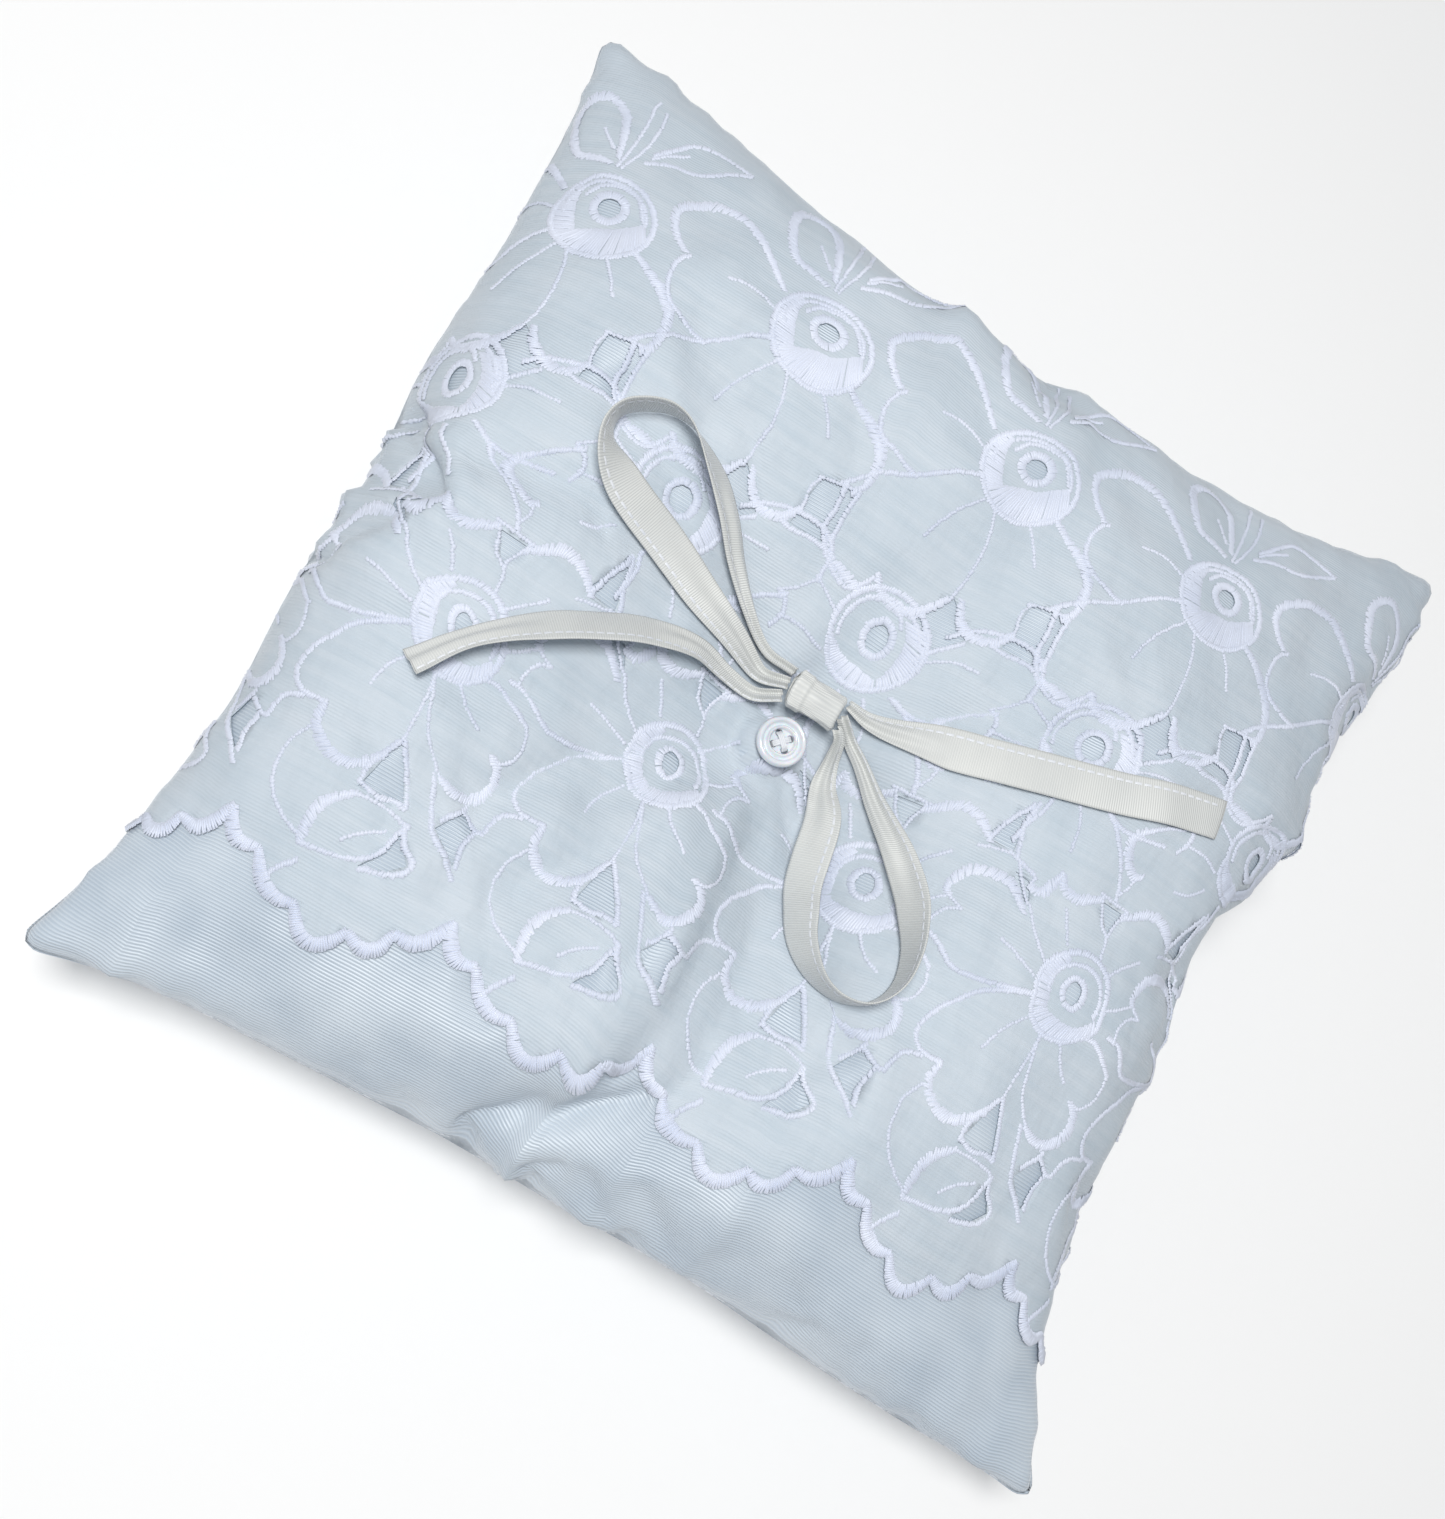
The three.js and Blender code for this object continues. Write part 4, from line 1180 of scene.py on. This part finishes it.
def strand(route, ground):
    """The middle line of a strand, its half-width vectors and its faces' directions."""
    path = smooth_curve(route, 1.0)
    middle = path[:, :3].copy()
    run = directions(path[:, :2])
    tilt = np.radians(path[:, 4])
    width = path[:, 3]
    across = np.stack([-run[:, 1] * np.cos(tilt), run[:, 0] * np.cos(tilt), np.sin(tilt)], 1)
    half = across * width[:, None] / 2
    for k, (x, y, lift) in enumerate(path[:, :3]):
        ends = [ground.height(x + side * half[k, 0], y + side * half[k, 1]) for side in (-1, 0, 1)]
        rest = max(ends) + CLEARANCE + abs(half[k, 2])
        middle[k, 2] = max(ground.height(x, y) + lift - DRESSING, rest)
    knot_z = (KNOT_LOW[2] + KNOT_HIGH[2]) / 2
    near = np.clip(1 - np.abs(np.arange(len(path))) / KNOT_REACH, 0, 1)
    if np.linalg.norm(path[-1, :2] - path[0, :2]) < 10:
        near = np.maximum(near, near[::-1])
    blend = near * near * (3 - 2 * near)
    middle[:, 2] = middle[:, 2] * (1 - blend) + knot_z * blend
    for _ in range(3):
        middle[1:-1, 2] = (middle[:-2, 2] + 2 * middle[1:-1, 2] + middle[2:, 2]) / 4
    forward = directions(middle)
    face = np.cross(forward, across)
    face /= np.linalg.norm(face, axis=1, keepdims=True)
    return middle, half, face, width


def ribbon_surface(middle, half, face, width, across, out=0.0):
    """Points across a strand: across runs from -1 to 1, and out is the height over its face.
    A strand narrower than the ribbon is gathered into soft pleats."""
    slack = np.clip(1 - width / RIBBON_WIDTH, 0, 1)
    pleats = 0.9 * slack[:, None] ** 0.7 * np.sin(across[None, :] * 5.5 + 0.9)
    cup = 0.25 * (1 - across[None, :] ** 2)
    height = pleats + cup + out
    return middle[:, None] + half[:, None] * across[None, :, None] + face[:, None] * height[..., None]


def make_ribbon(name, route, ground, materials, body, node, slant=0.0):
    """A flat ribbon with a thread line sewn near one edge."""
    middle, half, face, width = strand(route, ground)
    across = np.linspace(-1, 1, 17)
    run = np.append(0, np.cumsum(np.linalg.norm(np.diff(middle, axis=0), axis=1)))
    bodies = [ribbon_surface(middle, half, face, width, across, s * RIBBON_THICKNESS / 2) for s in (1, -1)]
    if slant:
        shift = directions(middle)[-1] * slant
        for layer in bodies:
            layer[-4:] += shift * across[None, :, None] * np.linspace(0.25, 1, 4)[:, None, None]
    points, faces = thin_shell(*bodies)
    cloth = np.stack(np.broadcast_arrays(run[:, None], across[None, :] * RIBBON_WIDTH / 2), -1).reshape(-1, 2)
    ribbon = make_piece(name, points, faces, materials["ribbon"], np.concatenate([cloth, cloth]))
    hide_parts(node)
    stitches = edge_stitch(name + "_stitches", middle, half, face, width, run, materials["thread"])
    for piece, slot in ((ribbon, "ribbon"), (stitches, "thread")):
        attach(piece, body)


def resampled(values, run, at):
    """Rows of values, known at each run, at other places along it."""
    return np.stack([np.interp(at, run, column) for column in values.T], 1)


def edge_stitch(name, middle, half, face, width, run, material):
    """A dashed line of machine stitches standing just proud of both faces."""
    count = int(run[-1] / STITCH_STEP)
    points = []
    for side in (1, -1):
        for k in range(count):
            at = (k + 0.2) * STITCH_STEP + np.linspace(0, STITCH_LENGTH, 4)
            center, reach, up = (resampled(values, run, at) for values in (middle, half, face))
            line = ribbon_surface(
                center,
                reach,
                up,
                np.interp(at, run, width),
                STITCH_LINE + STITCH_HALF * np.array([-1, 0, 1]),
                side * (RIBBON_THICKNESS / 2 + 0.02),
            )
            rise = np.array([0, 0.22, 0.22, 0])[:, None] * np.array([0.2, 1, 0.2])
            points.append(line + side * up[:, None] * rise[..., None])
    points = np.stack(points)
    one = grid_faces(4, 3)
    faces = (np.arange(len(points))[:, None, None] * 12 + one[None]).reshape(-1, 4)
    return make_piece(name, points.reshape(-1, 3), faces, material)


def make_knot(materials):
    """The band wrapped round the bow: a rounded tube of ribbon with a folded edge and soft creases."""
    height = KNOT_HIGH[2] - KNOT_LOW[2]
    middle_z = (KNOT_LOW[2] + KNOT_HIGH[2]) / 2
    along = np.linspace(-1, 1, 41)
    turn = np.linspace(0, 2 * np.pi, 64, endpoint=False)
    t, a = np.meshgrid(turn, along, indexing="ij")
    fold = 0.35 / (1 + np.exp((a + 0.45) * 30)) + 0.18 * np.exp(-(((a + 0.45) / 0.06) ** 2))
    crease = 0.16 * np.sin(5 * t + 3 * a) * np.sin(2.2 * a + 0.7) + 0.12 * np.sin(9 * t - 4 * a)
    waist = 0.94 + 0.06 * a * a
    rolled = 1 - 0.25 * np.clip((np.abs(a) - 0.88) / 0.12, 0, 1) ** 2
    swell = rolled * waist
    outer = [fold + crease * 0.8, fold + crease * 0.8 - 0.45]
    layers = []
    for extra in outer:
        x = KNOT_AT[0] + a * KNOT_LENGTH / 2 + 0.25 * np.sin(t * 2 + 1)
        y = KNOT_AT[1] + (KNOT_WIDTH / 2 * swell + extra) * np.sign(np.cos(t)) * np.abs(np.cos(t)) ** 0.75
        z = middle_z + (height / 2 * swell + extra) * np.sign(np.sin(t)) * np.abs(np.sin(t)) ** 0.75
        layers.append(np.stack([x, y, z], -1))
    points, faces = thin_shell(layers[0], layers[1], loop=True)
    cloth = np.stack([t * 3.4, a * KNOT_LENGTH / 2], -1).reshape(-1, 2)
    cloth = np.concatenate([cloth, cloth])
    knot = make_piece("knot_band", points, faces[:, ::-1], materials["ribbon"], cloth)
    core = bundle("knot_bundle", middle_z, materials["ribbon"])
    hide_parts("bow_knot")
    for piece in (knot, core):
        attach(piece, "pillow")


def bundle(name, middle_z, material):
    """The gathered ribbon inside the knot, which shows at its two ends."""
    along = np.linspace(-1, 1, 13)
    turn = np.linspace(0, 2 * np.pi, 40, endpoint=False)
    t, a = np.meshgrid(turn, along, indexing="ij")
    radius = 0.8 + 0.12 * np.sin(6 * t) - 0.35 * np.clip((np.abs(a) - 0.75) / 0.25, 0, 1) ** 2
    x = KNOT_AT[0] + a * KNOT_LENGTH / 2
    y = KNOT_AT[1] + BUNDLE_HALF[0] * radius * np.cos(t)
    z = middle_z + BUNDLE_HALF[1] * radius * np.sin(t)
    outer = np.stack([x, y, z], -1)
    core = outer.mean(0, keepdims=True)
    inner = core + (outer - core) * 0.5
    points, faces = thin_shell(outer, inner, loop=True)
    cloth = np.stack([t * 3, a * KNOT_LENGTH / 2], -1).reshape(-1, 2)
    return make_piece(name, points, faces[:, ::-1], material, np.concatenate([cloth, cloth]))


# ---- Button and threads ----
BUTTON_HOLE = 0.85  # radius
BUTTON_HOLE_OFFSET = 1.45
HOLE_SIDES = [(1, 1), (-1, 1), (-1, -1), (1, -1)]
HOLE_STEPS = 32
BUTTON_STEPS = 96
BUTTON_FACE = 0.55  # height of the sunken middle, as a share of the thickness
CROSS_THREAD = 0.27  # radius of the thread over the button
CROSS_LAYS = (-0.42, 0.0, 0.42)  # where the threads of one stitch lie beside each other
SHANK_TURNS = 7
SHANK_PITCH = 0.28
SHANK_RADIUS = 1.7
SHANK_THREAD = 0.2
SHANK_TOP = 0.3  # below the button
SEAM_STITCH = 2.2
SEAM_STEP = 3.2
SEAM_THREAD = 0.18  # radius
SEAM_SINK = 0.6  # how far below the panel's edge the seam's thread lies
STUFFING_REACH = 0.85  # share of the panel that the stuffing fills
STUFFING_GAP = 5.0  # between stuffing and cloth
BUTTON_PROFILE = [  # share of the radius, share of the thickness
    (0.0, 0.12),
    (0.7, 0.12),
    (0.84, 0.0),
    (0.95, 0.16),
    (1.0, 0.45),
    (0.985, 0.72),
    (0.94, 0.9),
    (0.87, 0.97),
    (0.8, 0.9),
    (0.74, 0.66),
    (0.68, 0.54),
    (0.63, 0.66),
    (0.58, 0.88),
    (0.53, 0.88),
    (0.48, 0.66),
    (0.42, 0.56),
    (0.0, BUTTON_FACE),
]


def cut_holes(piece, spots, radius, low, high):
    """Drills upright round holes through a piece."""
    for x, y in spots:
        turn = np.linspace(0, 2 * np.pi, HOLE_STEPS, endpoint=False)
        ring = np.stack([x + radius * np.cos(turn), y + radius * np.sin(turn)], 1)
        points = [(*p, z) for z in (low, high) for p in ring]
        count = HOLE_STEPS
        walls = [(k, (k + 1) % count, (k + 1) % count + count, k + count) for k in range(count)]
        ends = [tuple(range(count))[::-1], tuple(range(count, 2 * count))]
        mesh = bpy.data.meshes.new("drill")
        scaled = [tuple(c * MM for c in p) for p in points]
        mesh.from_pydata(scaled, [], walls + ends)
        drill = bpy.data.objects.new("drill", mesh)
        bpy.context.collection.objects.link(drill)
        cut = piece.modifiers.new("cut", "BOOLEAN")
        cut.object = drill
        cut.solver = "EXACT"
        seen = piece.evaluated_get(bpy.context.evaluated_depsgraph_get())
        done = bpy.data.meshes.new_from_object(seen)
        piece.modifiers.clear()
        piece.data = done
        bpy.data.objects.remove(drill)
        bpy.data.meshes.remove(mesh)


def make_button(materials):
    """A turned button with a rounded rim, a groove and a sunken middle with four holes."""
    radius = (BUTTON_HIGH[0] - BUTTON_LOW[0]) / 2
    thick = BUTTON_HIGH[2] - BUTTON_LOW[2]
    profile = smooth_curve(np.array(BUTTON_PROFILE) * (radius, thick), 0.12)
    profile[:, 0] = np.maximum(profile[:, 0], 0)
    profile = profile[1:-1]
    sides = BUTTON_STEPS
    turn = np.linspace(0, 2 * np.pi, sides, endpoint=False)[:, None]
    x = BUTTON[0] + profile[:, 0] * np.cos(turn)
    y = BUTTON[1] + profile[:, 0] * np.sin(turn)
    z = BUTTON_LOW[2] + np.broadcast_to(profile[:, 1], x.shape)
    points = np.stack([x, y, z], -1)
    count = len(profile)
    faces = grid_faces(sides, count, loop=True).tolist()
    faces += [[k * count for k in range(sides)][::-1], [k * count + count - 1 for k in range(sides)]]
    mesh = bpy.data.meshes.new("pearl_button")
    mesh.from_pydata((points.reshape(-1, 3) * MM).tolist(), [], faces)
    mesh.materials.append(materials["pearl"])
    piece = bpy.data.objects.new("pearl_button", mesh)
    bpy.context.collection.objects.link(piece)
    spots = [BUTTON[:2] + np.array(side) * BUTTON_HOLE_OFFSET for side in HOLE_SIDES]
    cut_holes(piece, spots, BUTTON_HOLE, BUTTON_LOW[2] - 1, BUTTON_HIGH[2] + 1)
    piece.data.shade_smooth()
    piece.data.set_sharp_from_angle(angle=math.radians(40))
    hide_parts("button")
    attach(piece, "button")
    return BUTTON_LOW[2] + BUTTON_FACE * thick


def thread_tube(path, radius):
    """Points and quads of a round thread along a path."""
    path = densified(path)
    forward = directions(path)
    side = np.cross(forward, (0.3, 0.2, 1))
    side /= np.maximum(np.linalg.norm(side, axis=1, keepdims=True), 1e-9)
    up = np.cross(side, forward)
    turn = np.linspace(0, 2 * np.pi, 8, endpoint=False)
    ring = side[:, None] * np.cos(turn)[:, None] + up[:, None] * np.sin(turn)[:, None]
    return path[:, None] + ring * radius


def densified(points):
    """A polyline with eight steps to each of its own."""
    points = np.asarray(points, float)
    k = np.linspace(0, len(points) - 1, 8 * (len(points) - 1) + 1)
    return np.stack([np.interp(k, np.arange(len(points)), points[:, c]) for c in range(3)], 1)


def tubes_piece(name, tubes, material):
    """One piece from many round threads."""
    points, faces, count = [], [], 0
    for tube in tubes:
        rows, sides = tube.shape[:2]
        points.append(tube.reshape(-1, 3))
        quads = grid_faces(sides, rows, 0, False, True)
        ring, row = quads // rows, quads % rows
        faces.append(row * sides + ring + count)
        count += rows * sides
    return make_piece(name, np.concatenate(points), np.concatenate(faces), material)


def make_threads(materials, face_z):
    """Crossed stitches over the button and the shank under it."""
    tubes = []
    for turn, (i, j) in enumerate(((1, 1), (-1, 1))):
        for lay in CROSS_LAYS:
            ends = []
            for sign in (1, -1):
                x = BUTTON[0] + sign * i * BUTTON_HOLE_OFFSET - j * lay * 0.7
                y = BUTTON[1] + sign * j * BUTTON_HOLE_OFFSET + i * lay * 0.7
                ends.append((x, y))
            top = face_z + 0.45 + 0.3 * turn + (0.12 if lay == 0 else 0)
            (xa, ya), (xb, yb) = ends
            low = BUTTON_LOW[2] - SHANK_TOP
            path = [(xa, ya, low), (xa, ya, face_z), (xa + (xb - xa) * 0.15, ya + (yb - ya) * 0.15, top)]
            path += [(xa + (xb - xa) * k, ya + (yb - ya) * k, top + 0.1) for k in (0.4, 0.6)]
            path += [(xa + (xb - xa) * 0.85, ya + (yb - ya) * 0.85, top), (xb, yb, face_z), (xb, yb, low)]
            tubes.append(thread_tube(path, CROSS_THREAD))
    for k in range(SHANK_TURNS):
        z = BUTTON_LOW[2] - SHANK_TOP - k * SHANK_PITCH
        turn = np.linspace(0, 2 * np.pi, 17)
        x = BUTTON[0] + SHANK_RADIUS * np.cos(turn)
        y = BUTTON[1] + SHANK_RADIUS * np.sin(turn)
        tubes.append(thread_tube(np.stack([x, y, np.full(len(turn), z)], 1), SHANK_THREAD))
    piece = tubes_piece("button_stitches", tubes, materials["thread"])
    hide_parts("button_thread")
    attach(piece, "button")


def make_inside(front, back, materials):
    """The stuffing, the seam's stitches and the hard CAD threads that are kept."""
    line = STUFFING_REACH * grid_lines(60) * PANEL / 2
    u, v = np.meshgrid(line, line, indexing="ij")
    upper = front.at(u, v)
    lower = back.at(u, v)
    middle = (upper + lower) / 2
    half = (upper - lower) / 2
    reach = np.maximum(np.linalg.norm(half, axis=-1, keepdims=True), 1e-6)
    shrink = np.clip(1 - STUFFING_GAP / reach, 0.2, 1)
    points, faces = thin_shell(middle + half * shrink, middle - half * shrink)
    filling = make_piece("stuffing", points, faces, materials["stuffing"])
    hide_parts("fibrefill")
    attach(filling, "pillow")
    seam = seam_stitches(front, materials["thread"])
    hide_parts("seam_thread")
    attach(seam, "pillow")
    for node in ("tufting_thread", "back_thread_knot", "bow_tack_thread"):
        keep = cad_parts[node]
        for slot in keep.material_slots:
            slot.material = materials["thread"]


def seam_stitches(front, material):
    """Short stitches just inside the pillow's edge, following all four seams."""
    inset = PANEL / 2 - 1.0
    tubes = []
    for a in np.arange(-inset, inset, SEAM_STEP):
        run = np.linspace(a, a + SEAM_STITCH, 4)
        rim = np.full(4, inset)
        for u, v in ((run, rim), (run, -rim), (rim, run), (-rim, run)):
            path = front.at(u, v)
            path[:, 2] -= SEAM_SINK
            tubes.append(thread_tube(path, SEAM_THREAD))
    return tubes_piece("seam_stitches", tubes, material)


make_camera()
make_light()
make_floor()
materials = make_materials()
front, back = make_pillow(materials)
ground = Ground(front)
make_ribbon("upper_loop_ribbon", UPPER_LOOP, ground, materials, "upper_loop", "upper_bow_loop")
make_ribbon("lower_loop_ribbon", LOWER_LOOP, ground, materials, "lower_loop", "lower_bow_loop")
make_ribbon("left_tail_ribbon", LEFT_TAIL, ground, materials, "left_tail", "left_ribbon_tail")
make_ribbon(
    "right_tail_ribbon", RIGHT_TAIL, ground, materials, "right_tail", "right_ribbon_tail", SLANTED_CUT
)
make_knot(materials)
button_face = make_button(materials)
make_threads(materials, button_face)
make_lace(front, materials)
make_inside(front, back, materials)
